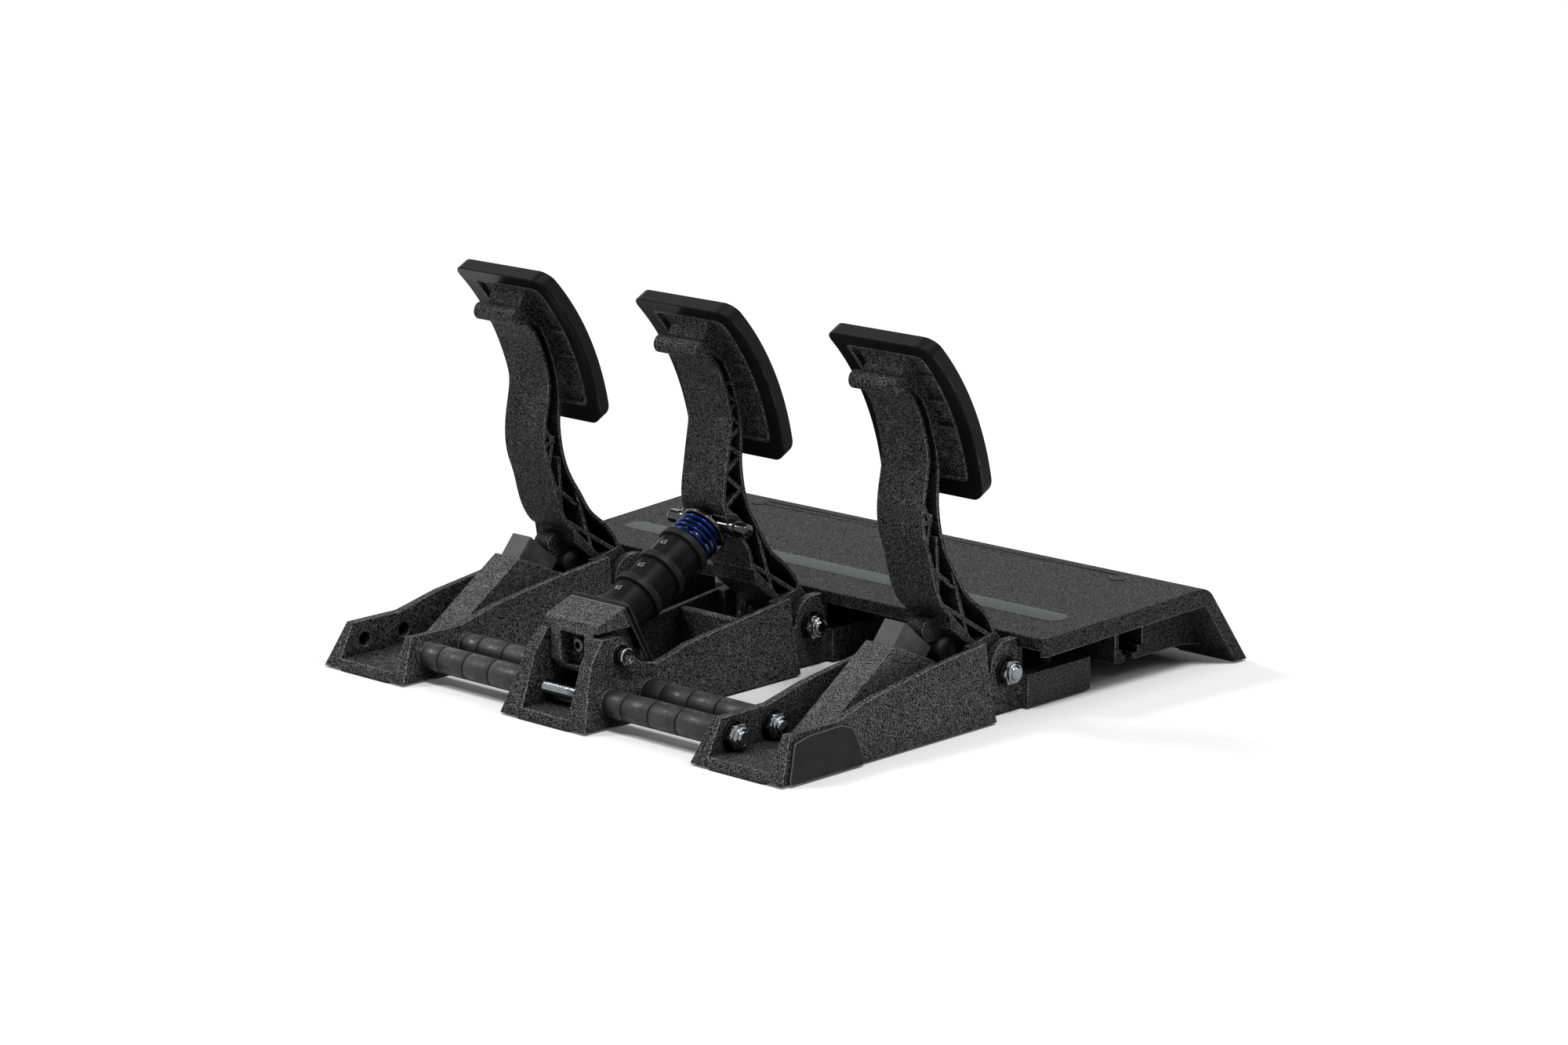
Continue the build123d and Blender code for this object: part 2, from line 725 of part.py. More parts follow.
def pad_shell(outer, inner):
    """The part of a barrel between two radii about the pad's axis."""
    ring = Circle(outer) - Circle(inner)
    return extrude(Plane.YZ.offset(-pad_width) * Pos(pad_axis_y, pad_axis_z) * ring,
                   amount=2 * pad_width)


def pad_back_point(up, deep):
    """A point of the pad's middle plane, up the pad and behind its front face."""
    return pad_front_mid + pad_up * up - pad_normal * deep


def pad_groove(index):
    """One shallow groove across the front of a pad."""
    turn = pad_tilt + degrees((index - (groove_count - 1) / 2) * groove_pitch / pad_curve)
    face = Vector(0, -cos(radians(turn)), sin(radians(turn)))
    start = Vector(0, pad_axis_y, pad_axis_z) + face * (pad_curve - groove_deep)
    plane = Plane(origin=start, x_dir=Vector(1, 0, 0), z_dir=face)
    width = pad_width - 2 * pad_border
    return extrude(plane * RectangleRounded(width, groove_wide, groove_wide * groove_round_share),
                   amount=groove_deep + cut_over)


def pad_tray():
    """The curved tray: a skin with a deep border, open at the back."""
    tray = pad_shell(pad_curve, pad_curve - pad_thick)
    tray = tray & pad_prism(pad_width, pad_height, pad_corner, pad_curve / 4)
    tray = fillet(tray.edges(), edge_round)
    opening = pad_prism(pad_width - 2 * pad_border, pad_height - 2 * pad_border,
                        pad_corner / 2, pad_curve / 4)
    tray -= opening & pad_shell(pad_curve - pad_skin, pad_curve - 4 * pad_thick)
    for index in range(groove_count):
        tray -= pad_groove(index)
    return tray


def pad_slab(up, thick, deep_from, deep_to, width):
    """A flat rib across the pad, square to its middle."""
    middle = pad_back_point(up, (deep_from + deep_to) / 2)
    plane = Plane(origin=middle, x_dir=Vector(1, 0, 0), z_dir=pad_up)
    return extrude(plane * Rectangle(width, deep_to - deep_from), amount=thick / 2, both=True)


def pad_back():
    """The back plate with its cross ribs, its spine and the boss under the arm's rolled top."""
    inner_width = pad_width - 2 * pad_border - 2 * pad_gap
    inner_height = pad_height - 2 * pad_border - 2 * pad_gap
    column = pad_prism(inner_width, inner_height, pad_corner / 2 - pad_gap, pad_curve / 4)
    face = pad_curve - pad_skin
    plate = column & pad_shell(face, face - back_plate_thick)
    ribs = pad_slab(pad_height * back_rib_shares[0], back_rib_thick, 0, pad_thick, inner_width)
    for share in back_rib_shares[1:]:
        ribs += pad_slab(pad_height * share, back_rib_thick, 0, pad_thick, inner_width)
    rim = column - pad_prism(inner_width - 2 * back_rib_thick, inner_height - 2 * back_rib_thick,
                             pad_corner / 4, pad_curve / 3)
    grid = (ribs & column & pad_shell(face, pad_curve - pad_thick))
    grid += rim & pad_shell(face, pad_curve - pad_thick)
    up_top = pad_height * boss_top_share
    up_seat = pad_height * boss_seat_share
    wide = [pad_back_point(up_top, pad_skin), pad_back_point(up_top, pad_thick),
            pad_back_point(up_seat, boss_deep), pad_back_point(up_seat - roll_size, boss_deep),
            pad_back_point(-up_seat, pad_thick + back_plate_thick),
            pad_back_point(-up_seat, pad_skin)]
    points = [(p.Y, p.Z) for p in wide]
    half = spine_width / 2
    spine = side_slab(points, -half, half)
    flare_plane = Plane(origin=pad_back_point(up_top, pad_skin), x_dir=Vector(1, 0, 0),
                        z_dir=-pad_normal)
    foot = flare_plane * Pos(0, -roll_size / 2) * Rectangle(boss_wide, roll_size)
    tip_plane = flare_plane.offset(boss_deep - pad_skin)
    tip = tip_plane * Pos(0, up_seat - up_top - roll_size / 2) * Rectangle(boss_narrow, roll_size)
    boss = loft([foot.face(), tip.face()])
    inside = column + pad_prism(spine_width, inner_height, pad_gap, pad_curve / 4)
    solid = plate + grid + boss + (spine & inside & pad_shell(face, pad_curve / 2))
    clear = extrude(Plane.YZ.offset(-pad_width) * arm_room(pad_gap), amount=2 * pad_width)
    pieces = (solid & pad_shell(face, pad_curve / 2)) - clear
    return Part() + pieces.solids().sort_by(SortBy.VOLUME)[-1]


tray_shape = pad_tray()
back_shape = pad_back()


for name, x in (("throttle", throttle_x), ("brake", brake_x), ("clutch", clutch_x)):
    save(Pos(x, 0, 0) * tray_shape, name + "_pad")
    save(Pos(x, 0, 0) * back_shape, name + "_pad_back")


# Spring towers, plungers and return springs of the throttle and the clutch
plunger_top = Vector(0, plunger_top_y, plunger_top_z)


def plunger_column(width, deep, start, length):
    """A square column along the plunger's line, from a distance past its top."""
    plane = Plane(origin=plunger_top + plunger_dir * start, x_dir=Vector(1, 0, 0),
                  z_dir=plunger_dir)
    return extrude(plane * Rectangle(width, deep), amount=length)


def spring_tower():
    """The sloping housing that guides the plunger."""
    outline = [(tower_front, floor_thick), (tower_front, tower_front_height),
               (tower_top_place, tower_top_height), (tower_foot_place, floor_thick)]
    body = side_slab(outline, -tower_half, tower_half)
    body = fillet(body.edges().filter_by(Axis.X).sort_by(Axis.Z)[-1], edge_round)
    room = plunger_length + plunger_travel + plunger_end_room
    body -= plunger_column(plunger_width + 2 * fit_gap, plunger_deep + 2 * fit_gap, 0, room)
    half = nose_width / 2 + 2 * fit_gap
    notch_floor = tower_front_height - nose_size * notch_share
    body -= block(-half, half, tower_front - cut_over, plunger_top_y, notch_floor,
                  tower_top_height)
    return body


def plunger():
    """The square plunger, hollow from below to hold its spring."""
    body = plunger_column(plunger_width, plunger_deep, 0, plunger_length)
    body = chamfer(body.edges(), edge_round / 2)
    hollow = plunger_column(plunger_width - 2 * plunger_wall, plunger_deep - 2 * plunger_wall,
                            2 * plunger_wall, plunger_length)
    return body - hollow


def return_spring():
    """The hidden spring between the plunger and the floor of the tower's bore."""
    start = 2 * plunger_wall + return_wire
    room = plunger_length + plunger_travel + plunger_end_room - return_wire
    mean = (plunger_width - 2 * plunger_wall - 2 * return_wire) / 2
    helix = Helix(pitch=(room - start) / return_turns, height=room - start, radius=mean)
    section = Plane(origin=helix @ 0, z_dir=helix % 0) * Circle(return_wire / 2)
    coil = sweep(section, path=helix, is_frenet=True)
    seat = Plane(origin=plunger_top + plunger_dir * start, x_dir=Vector(1, 0, 0),
                 z_dir=plunger_dir)
    return seat.location * coil


tower_shape = spring_tower()
plunger_shape = plunger()
return_shape = return_spring()
for name, x in (("throttle", throttle_x), ("clutch", clutch_x)):
    save(Pos(x, 0, 0) * tower_shape, name + "_spring_tower")
    save(Pos(x, 0, 0) * plunger_shape, name + "_plunger")
    save(Pos(x, 0, 0) * return_shape, name + "_return_spring")


# Brake stack on its sloping line
def disc(start, length, outer, inner):
    """A ring of the stack between two places on its line."""
    body = along(stack_point(start), stack_dir, outer, length)
    if inner:
        body -= along(stack_point(start - cut_over), stack_dir, inner, length + 2 * cut_over)
    return body


def stack_ring(start, length, outer, rounding):
    """A ring with rounded rims and a bore that clears the spindle."""
    body = disc(start, length, outer, 0)
    body = fillet(body.edges().filter_by(GeomType.CIRCLE), rounding)
    return body - disc(start - cut_over, length + 2 * cut_over, core_bore, 0)


stage = rubber_height + ring_height
coil_start = collar_height + 3 * stage
coil_end = coil_start + coil_space
pin_place = stack_reach
coil_mean = (coil_size - coil_wire) / 2
leg_bend = leg_bend_share * coil_wire
leg_reach = sqrt((coil_mean - leg_bend) ** 2 - leg_bend ** 2)
guide_radius = leg_reach - coil_wire
guide_height = coil_space * guide_share
save(stack_ring(0, collar_height, collar_size, ring_lip), "brake_base_collar")
for number in (1, 2, 3):
    start = collar_height + stage * (number - 1)
    save(stack_ring(start, rubber_height, rubber_size, ring_lip / 2),
         "brake_rubber_" + str(number))
    ring = stack_ring(start + rubber_height, ring_height, ring_size, ring_lip)
    if number == 3:
        ring += disc(coil_start, guide_height, 2 * guide_radius, core_bore)
    save(ring, "brake_ring_" + str(number))


def coil_course():
    """Points and directions down the middle of the visible spring's wire."""
    turns = coil_turns + 0.5
    low = coil_wire / 2 + fit_gap
    rise = coil_space - 2 * low
    slope = rise / (turns - coil_ease)
    knots = []
    for step in range(int(turns * 4) + 1):
        turn = step / 4
        if turn < coil_ease:
            height, grade = slope * turn ** 2 / (2 * coil_ease), slope * turn / coil_ease
        elif turn > turns - coil_ease:
            left = turns - turn
            height = rise - slope * left ** 2 / (2 * coil_ease)
            grade = slope * left / coil_ease
        else:
            height, grade = slope * (turn - coil_ease / 2), slope
        angle = 2 * pi * turn
        knots.append((Vector(coil_mean * cos(angle), coil_mean * sin(angle), low + height),
                      Vector(-coil_mean * sin(angle) * 2 * pi, coil_mean * cos(angle) * 2 * pi,
                             grade).normalized()))
    return knots


def leg(knot, sign):
    """The arc that turns an end of the wire inwards and the straight run to the sleeve."""
    point, heading = knot
    outward = Vector(point.X, point.Y).normalized()
    centre = point - outward * leg_bend
    sweep_angle = pi - atan2(leg_reach, leg_bend)
    side = Vector(heading.X, heading.Y).normalized() * sign
    middle = centre + outward * leg_bend * cos(sweep_angle / 2) + side * leg_bend * sin(
        sweep_angle / 2)
    end = centre + outward * leg_bend * cos(sweep_angle) + side * leg_bend * sin(sweep_angle)
    inward = Vector(-end.X, -end.Y).normalized()
    return [point, middle, end, end + inward * coil_wire]


def biarc(first, last):
    """Two arcs from one knot to the next that keep both directions."""
    p0, t0 = first
    p1, t1 = last
    run = p1 - p0
    both = t0 + t1
    share = 2 * (1 - t0.dot(t1))
    size = (-run.dot(both) + sqrt(run.dot(both) ** 2 + share * run.dot(run))) / share
    joint = (p0 + t0 * size + p1 - t1 * size) * 0.5
    one = TangentArc(p0, joint, tangent=t0)
    return [one, TangentArc(joint, p1, tangent=one % 1)]


def brake_coil():
    """The visible spring, one unbroken tube with its ends turned in to the two sleeves."""
    knots = coil_course()
    head = leg(knots[0], -1)
    tail = leg(knots[-1], 1)
    path = [Line(head[3], head[2]), ThreePointArc(head[2], head[1], head[0])]
    for first, last in zip(knots, knots[1:]):
        path += biarc(first, last)
    path += [ThreePointArc(tail[0], tail[1], tail[2]), Line(tail[2], tail[3])]
    wire = Wire(path)
    section = Plane(origin=head[3], z_dir=head[2] - head[3]) * Circle(coil_wire / 2)
    spots = [wire.position_at(step / coil_checks) for step in range(coil_checks + 1)]
    spread = wire.length / coil_checks
    skip = int(2 * coil_wire / spread) + 1
    least = min((a - b).length for i, a in enumerate(spots) for b in spots[i + skip:])
    print("brake spring: least gap to itself", round(least - coil_wire, 2), "mm, wire",
          round(wire.length, 1), "mm")
    tube = sweep(section, path=wire)
    seat = Plane(origin=stack_point(coil_start), x_dir=Vector(1, 0, 0), z_dir=stack_dir)
    return seat.location * tube


save(brake_coil(), "brake_spring")


def spring_seat():
    """The top washer of the spring with its sleeve, and the eye for the cross pin."""
    plate = disc(coil_end, seat_height, seat_size, 0)
    plate = fillet(plate.edges().filter_by(GeomType.CIRCLE), ring_lip)
    sleeve = disc(coil_end - guide_height, guide_height, 2 * guide_radius, 0)
    centre = stack_point(pin_place)
    eye = rod_across(centre.Y, centre.Z, eye_size, -eye_width / 2, eye_width / 2)
    neck = disc(coil_end, pin_place - coil_end, eye_width, 0)
    bore = rod_across(centre.Y, centre.Z, cross_pin_size + 2 * eye_clearance, -eye_width,
                      eye_width)
    return plate + sleeve + eye + neck - bore


save(spring_seat(), "brake_spring_seat")
spindle = disc(-cell_thick, coil_end - guide_height + cell_thick, core_size, 0)
save(chamfer(spindle.edges().filter_by(GeomType.CIRCLE), core_size / 10), "brake_spindle")

pin_spot = stack_point(pin_place)
cross_pin = rod_across(pin_spot.Y, pin_spot.Z, cross_pin_size, -cross_pin_half, cross_pin_half)
save(chamfer(cross_pin.edges().filter_by(GeomType.CIRCLE), edge_round), "brake_cross_pin")
collars = []
for side in (1, -1):
    inner = side * (arm_width / 2 + fit_gap)
    ring = rod_across(pin_spot.Y, pin_spot.Z, pin_collar_size, inner,
                      inner + side * pin_collar_long)
    ring = chamfer(ring.edges().filter_by(GeomType.CIRCLE), edge_round / 2)
    collars.append(ring - cross_pin)
save_group(collars, "brake_pin_collars")


def brake_arm():
    """The brake's arm, forked round the cross pin at the end of the stack."""
    body = arm_body(brake_rear_shares, brake_rib_shares)
    half = arm_width / 2
    cheek = rod_across(pin_spot.Y, pin_spot.Z, eye_size + 2 * edge_round, -half, half)
    back = Plane(origin=stack_point(pin_place - edge_round), x_dir=Vector(1, 0, 0),
                 z_dir=stack_dir)
    keep = extrude(back * Rectangle(2 * arm_width, 2 * arm_width), amount=arm_width)
    slot_half_width = eye_width / 2 + eye_clearance
    body += cheek & keep
    slot = rod_across(pin_spot.Y, pin_spot.Z, eye_size + 2 * edge_round + eye_clearance * 2,
                      -slot_half_width, slot_half_width)
    mouth = back * Rectangle(2 * slot_half_width, eye_size + 2 * edge_round)
    body -= slot + extrude(mouth, amount=-eye_size)
    body -= rod_across(pin_spot.Y, pin_spot.Z, cross_pin_size, -arm_width, arm_width)
    return body - hub_bores()


save(brake_arm(), "brake_arm")


# Load cell plate, yoke and the screws that carry it
def cell_plate():
    """The flat plate that the stack presses on."""
    plane = Plane(origin=stack_point(0, (cell_above - cell_below) / 2), x_dir=Vector(1, 0, 0),
                  z_dir=-stack_dir)
    outline = plane * RectangleRounded(2 * cell_half, cell_above + cell_below, edge_round * 2)
    plate = extrude(outline, amount=cell_thick)
    plate = chamfer(plate.faces().sort_by(Axis.Y)[0].edges(), edge_round / 2)
    return plate - disc(-2 * cell_thick, 3 * cell_thick, core_bore, 0)


def yoke():
    """The block between the brake's ears, with a window at the back for its screw."""
    top = stack_point(-cell_thick, cell_above)
    foot = stack_point(-cell_thick, -cell_below)
    reach = yoke_rear - top.Y
    rise = top.Z - yoke_pivot_height
    crest = [(top.Y + a * reach, yoke_pivot_height + b * rise) for a, b in yoke_shares]
    outline = crest + [(yoke_rear, yoke_foot + yoke_round), (yoke_rear - yoke_round, yoke_foot),
                       (foot.Y + yoke_round, yoke_foot), (foot.Y, foot.Z)]
    body = side_slab(outline, -yoke_half, yoke_half)
    for side in (1, -1):
        body -= block(side * tongue_half, side * (yoke_half + cut_over), ear_front - ear_taper,
                      yoke_rear + cut_over, 0, crown_height + 2 * edge_round)
    body -= block(-yoke_window_half, yoke_window_half, yoke_rear - yoke_window_deep,
                  yoke_rear + cut_over, yoke_window_low, yoke_window_high)
    travel = pin_arm_travel + cell_thick
    body -= disc(-cell_thick - travel, travel + cut_over, core_bore, 0)
    body -= along(cell_screw_spot, Vector(0, -1, 0), cell_screw_size, cell_screw_size / 2)
    bolt_bore = yoke_bolt_size + rod_clearance
    for side in (1, -1):
        body -= rod_across(yoke_pivot_place, yoke_pivot_height, bolt_bore,
                           side * (yoke_window_half - edge_round), side * yoke_half)
    return body


cell_screw_spot = Vector(0, yoke_rear - yoke_window_deep, cell_screw_height)
save(cell_plate(), "brake_load_cell_plate")
save(yoke(), "brake_yoke")


def socket_screw(spot, direction, size, head, head_long, length):
    """A cylinder-head screw: the head stands back from the seat, the shank goes in."""
    shank = along(spot, direction, size, length)
    cap = along(spot - direction * head_long, direction, head, head_long)
    cap = chamfer(cap.edges().filter_by(GeomType.CIRCLE), head * head_chamfer_share)
    plane = Plane(origin=spot - direction * (head_long + cut_over), x_dir=direction.cross(
        Vector(0, 0, 1) if abs(direction.Z) < 0.5 else Vector(0, 1, 0)), z_dir=direction)
    key = extrude(plane * RegularPolygon(size * key_size_share, 6),
                  amount=head_long * key_deep_share + cut_over)
    return shank + cap - key


yoke_screws = []
yoke_washers = []
for side in (1, -1):
    seat = side * (ear_face + washer_thick)
    spot = Vector(seat, yoke_pivot_place, yoke_pivot_height)
    length = ear_face + washer_thick - yoke_window_half + edge_round / 2
    yoke_screws.append(socket_screw(spot, Vector(-side, 0, 0), yoke_bolt_size, yoke_head_size,
                                    yoke_head_height, length - edge_round))
    yoke_washers.append(washer(yoke_pivot_place, yoke_pivot_height, yoke_washer_size,
                               yoke_bolt_size + rod_clearance, washer_thick, side,
                               side * ear_face))
save_group(yoke_screws, "yoke_pivot_screws")
save_group(yoke_washers, "yoke_pivot_washers")
save(socket_screw(cell_screw_spot, Vector(0, -1, 0), cell_screw_size, cell_screw_head,
                  cell_screw_size, cell_screw_size / 2), "brake_cell_screw")


# Heel plate
skirt_slope = tan(radians(skirt_lean))


def top_at(y):
    """The height of the plate's top face."""
    return plate_rear_height + plate_rise_share * (plate_rear - y)


def half_at(y):
    """How far the plate reaches to each side."""
    return plate_rear_half + plate_flare_share * (plate_rear - y)


skirt_top_y = (plate_front + skirt_slope * (plate_rear_height + plate_rise_share * plate_rear)) / (
    1 + skirt_slope * plate_rise_share)
skirt_deep = skirt_thick / cos(radians(skirt_lean))


def plate_plan(inset_by, rear_inset, z0, z1):
    """The plate's plan, drawn in at the sides and at the rear, as a column."""
    rear = plate_rear - rear_inset
    front = plate_front - cut_over
    points = [(-half_at(rear) + inset_by, rear), (half_at(rear) - inset_by, rear),
              (half_at(front) - inset_by, front), (-half_at(front) + inset_by, front)]
    return extrude(Plane.XY.offset(z0) * make_face(Polyline(*points, close=True)), amount=z1 - z0)


def sloping_slab(y0, y1, under0, under1):
    """A slab between two depths under the plate's top face."""
    reach = 2 * plate_rear_half
    points = [(y0, top_at(y0) - under1), (y1, top_at(y1) - under1), (y1, top_at(y1) - under0),
              (y0, top_at(y0) - under0)]
    return side_slab(points, -reach, reach)


def heel_plate():
    """The thin top, its rims, the leaning skirt, the rail underneath and the screw bosses."""
    reach = 2 * plate_rear_half
    crest = top_at(skirt_top_y)
    envelope = make_face(Polyline((plate_rear, 0), (plate_rear, plate_rear_height),
                                  (skirt_top_y, crest), (plate_front, 0), close=True))
    body = extrude(Plane.YZ.offset(-reach) * envelope, amount=2 * reach)
    bend = body.edges().filter_by(Axis.X).sort_by_distance((0, skirt_top_y, crest))[0]
    body = fillet(bend, skirt_round)
    body = body & plate_plan(0, 0, -cut_over, crest + cut_over)
    rear_corners = body.edges().filter_by(Axis.Z).group_by(Axis.Y)[-1]
    body = fillet(rear_corners, plate_corner)
    top_edges = body.edges().filter_by(lambda e: e.center().Z > plate_rear_height - edge_round
                                       and abs(e.center().X) > plate_rear_half / 2)
    body = fillet(top_edges, edge_round)
    keep = sloping_slab(plate_front, plate_rear + cut_over, -cut_over, plate_skin)
    side_keep = sloping_slab(plate_front, plate_rear + cut_over, -cut_over, plate_rim)
    high = crest + cut_over
    side_keep -= plate_plan(plate_rim_wall, -plate_rim_wall, -high, 2 * high)
    rear_keep = block(-reach, reach, plate_rear - plate_rim_wall, plate_rear + cut_over,
                      plate_rear_height - plate_rear_rim, high)
    skirt_keep = side_slab([(plate_front - cut_over, 0), (plate_front + skirt_deep, 0),
                            (skirt_top_y + skirt_deep, crest), (skirt_top_y, high),
                            (plate_front - cut_over, high)], -reach, reach)
    shell = body & (keep + side_keep + rear_keep + skirt_keep)
    under = body & plate_plan(plate_rim_wall, plate_rim_wall, -cut_over, high)
    rail = side_slab([(rail_front, rail_bottom), (rail_rear, rail_bottom), (rail_rear, high),
                      (rail_front, high)], -rail_half, rail_half)
    neck = block(-reach, reach, rail_neck_front, rail_neck_rear, 0, rail_stage_height)
    stage_cut = block(-reach, reach, rail_stage_front, rail_stage_rear,
                      (rail_bottom + rail_stage_height) / 2, rail_stage_height)
    hollow = block(-reach, reach, rail_hollow_front, rail_hollow_rear, rail_stage_height,
                   rail_hollow_height)
    rail -= neck + stage_cut + hollow
    for side in (1, -1):
        wall = [(rail_front + cut_over, rail_bottom), (end_wall_front, rail_bottom),
                (gusset_front, gusset_low), (plate_front, gusset_low), (plate_front, high),
                (rail_front + cut_over, high)]
        rail += side_slab(wall, side * (rail_half - end_wall_thick), side * rail_half)
    for x in (throttle_x, brake_x, clutch_x):
        for side in (1, -1):
            rail += pin_up(x + side * boss_spread, boss_place, boss_size, toe_height, high)
    body = shell + (rail & under)
    for x in (throttle_x, brake_x, clutch_x):
        for side in (1, -1):
            body -= pin_up(x + side * boss_spread, boss_place, toe_screw_size, 0,
                           toe_height + toe_screw_length)
    for side in (1, -1):
        body -= pin_up(side * cover_reach, cover_place, cover_size + fit_gap,
                       top_at(cover_place) - cover_thick, high)
    return body - strip_form(0, 0)


def strip_form(gap, lift):
    """The long round-ended strip let into the plate, lying along its slope."""
    middle = (strip_front + strip_rear) / 2
    tilt = degrees(atan2(-plate_rise_share, 1))
    plane = Plane(origin=(0, middle, top_at(middle) - strip_thick)).rotated((tilt, 0, 0))
    outline = SlotOverall(2 * (strip_half - gap), strip_rear - strip_front - 2 * gap)
    return extrude(plane * outline, amount=strip_thick + lift)


save(heel_plate(), "heel_plate")
strip = strip_form(fit_gap / 2, strip_proud)
strip = fillet(strip.edges().group_by(Axis.Z)[-1], strip_proud)
save(strip, "grip_strip")
covers = []
for side in (1, -1):
    floor = top_at(cover_place) - cover_thick
    disc_cover = pin_up(side * cover_reach, cover_place, cover_size, floor,
                        top_at(cover_place) + strip_proud)
    covers.append(chamfer(disc_cover.edges().group_by(Axis.Z)[-1], strip_proud))
save_group(covers, "plate_screw_covers")


def toe_screw(x):
    """A pan-head screw from under a frame's toe into the plate's boss."""
    shank = pin_up(x, boss_place, toe_screw_size, toe_screw_sunk, toe_height + toe_screw_length)
    head = pin_up(x, boss_place, toe_screw_head, fit_gap, toe_screw_sunk)
    slot_cut = block(x - toe_screw_head / 3, x + toe_screw_head / 3, boss_place - edge_round / 2,
                     boss_place + edge_round / 2, 0, toe_screw_sunk / 2)
    return shank + head - slot_cut


save_group([toe_screw(x + side * boss_spread) for x in (throttle_x, brake_x, clutch_x)
            for side in (1, -1)], "toe_screws")
skirt_feet = []
for side in (1, -1):
    start = side * (half_at(plate_front) - plate_corner)
    foot = block(start, start - side * skirt_foot_length, plate_front + edge_round,
                 plate_front + skirt_thick, -foot_proud, 0)
    skirt_feet.append(chamfer(foot.edges().group_by(Axis.Z)[0], foot_proud / 3))
save_group(skirt_feet, "skirt_rubber_feet")


# Control box under the plate, with its board and cable socket
def control_cover():
    """The open-topped box that hangs under the plate."""
    high = plate_rear_height + plate_rim
    outer = block(box_left, box_right, box_front, box_rear, box_bottom, high)
    outer = fillet(outer.edges().filter_by(Axis.Z), 2 * edge_round)
    inner = block(box_left + box_wall, box_right - box_wall, box_front + box_wall,
                  box_rear - box_wall, box_bottom + box_wall, high)
    below = sloping_slab(box_front - cut_over, box_rear + cut_over, plate_skin, high)
    body = (outer & below) - inner
    middle = (box_left + box_right) / 2
    opening = block(middle - socket_width / 2 - fit_gap, middle + socket_width / 2 + fit_gap,
                    box_rear - 2 * box_wall, box_rear + cut_over, socket_base - fit_gap,
                    socket_base + socket_height + fit_gap)
    for x in (box_left + 3 * box_wall, box_right - 3 * box_wall):
        for y in (box_front + 3 * box_wall, box_rear - 3 * box_wall):
            body += pin_up(x, y, 2 * box_wall, box_bottom + box_wall / 2, board_base)
    return body - opening


board_base = box_bottom + 2 * box_wall
socket_base = board_base + board_thick
board = block(box_left + box_wall + fit_gap, box_right - box_wall - fit_gap,
              box_front + box_wall + fit_gap, box_rear - box_wall - fit_gap, board_base,
              socket_base)
chip = block((box_left + box_right) / 2 - 3 * socket_width, (box_left + box_right) / 2 -
             2 * socket_width, (box_front + box_rear) / 2, (box_front + box_rear) / 2 +
             socket_width, socket_base, socket_base + board_thick)
save(control_cover(), "control_cover")
save(board + chip, "control_board")
socket = block((box_left + box_right - socket_width) / 2, (box_left + box_right +
               socket_width) / 2, box_rear - socket_deep, box_rear, socket_base,
               socket_base + socket_height)
socket = fillet(socket.edges().filter_by(Axis.Y), socket_height / 3)
mouth = offset(socket.faces().sort_by(Axis.Y)[-1], amount=-socket_height / 10)
save(socket - extrude(mouth, amount=-socket_deep * socket_mouth_share), "cable_socket")


# Position sensors of the throttle and the clutch
def sensor_board(x):
    """A small board on the floor of the arm's slot with its sensing chip."""
    board = block(x - sensor_width / 2, x + sensor_width / 2, pivot_place - sensor_length / 2,
                  pivot_place + sensor_length / 2, floor_thick, floor_thick + board_thick)
    chip = block(x - magnet_size / 2, x + magnet_size / 2, pivot_place - magnet_size / 2,
                 pivot_place + magnet_size / 2, floor_thick + board_thick,
                 floor_thick + 2 * board_thick)
    return board + chip


magnet_floor = pivot_height - hub_size / 2 + fit_gap
save_group([sensor_board(x) for x in (throttle_x, clutch_x)], "sensor_boards")
for name, x in (("throttle", throttle_x), ("clutch", clutch_x)):
    save(pin_up(x, pivot_place, magnet_size, magnet_floor, magnet_floor + magnet_thick),
         name + "_magnet")
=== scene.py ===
"""The looks of a three-pedal driving set: throttle, brake and clutch on one heel plate."""

import json
from math import atan2, cos, pi, radians, sin, sqrt, tau

import bmesh
import bpy
import numpy as np
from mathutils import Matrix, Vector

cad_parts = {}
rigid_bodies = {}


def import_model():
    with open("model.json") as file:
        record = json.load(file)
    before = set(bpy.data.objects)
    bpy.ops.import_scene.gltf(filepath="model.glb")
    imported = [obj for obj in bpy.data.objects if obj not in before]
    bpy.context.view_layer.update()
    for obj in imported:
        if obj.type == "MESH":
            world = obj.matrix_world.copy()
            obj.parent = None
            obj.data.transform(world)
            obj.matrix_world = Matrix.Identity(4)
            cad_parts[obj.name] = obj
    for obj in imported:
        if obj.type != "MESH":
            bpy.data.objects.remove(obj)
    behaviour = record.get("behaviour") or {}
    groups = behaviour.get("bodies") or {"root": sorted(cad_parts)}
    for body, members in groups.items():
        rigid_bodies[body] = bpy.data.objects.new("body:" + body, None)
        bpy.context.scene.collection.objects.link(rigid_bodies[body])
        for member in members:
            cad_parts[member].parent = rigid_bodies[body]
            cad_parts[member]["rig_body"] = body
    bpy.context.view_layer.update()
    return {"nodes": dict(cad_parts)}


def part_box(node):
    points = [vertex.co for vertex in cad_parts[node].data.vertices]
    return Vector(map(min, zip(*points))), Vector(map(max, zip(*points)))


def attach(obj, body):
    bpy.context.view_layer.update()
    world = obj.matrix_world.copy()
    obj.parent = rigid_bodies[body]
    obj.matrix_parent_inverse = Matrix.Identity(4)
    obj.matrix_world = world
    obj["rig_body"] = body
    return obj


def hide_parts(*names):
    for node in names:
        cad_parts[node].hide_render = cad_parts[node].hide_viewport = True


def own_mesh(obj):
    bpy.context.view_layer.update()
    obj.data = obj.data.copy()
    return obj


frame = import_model()
mm = 0.001


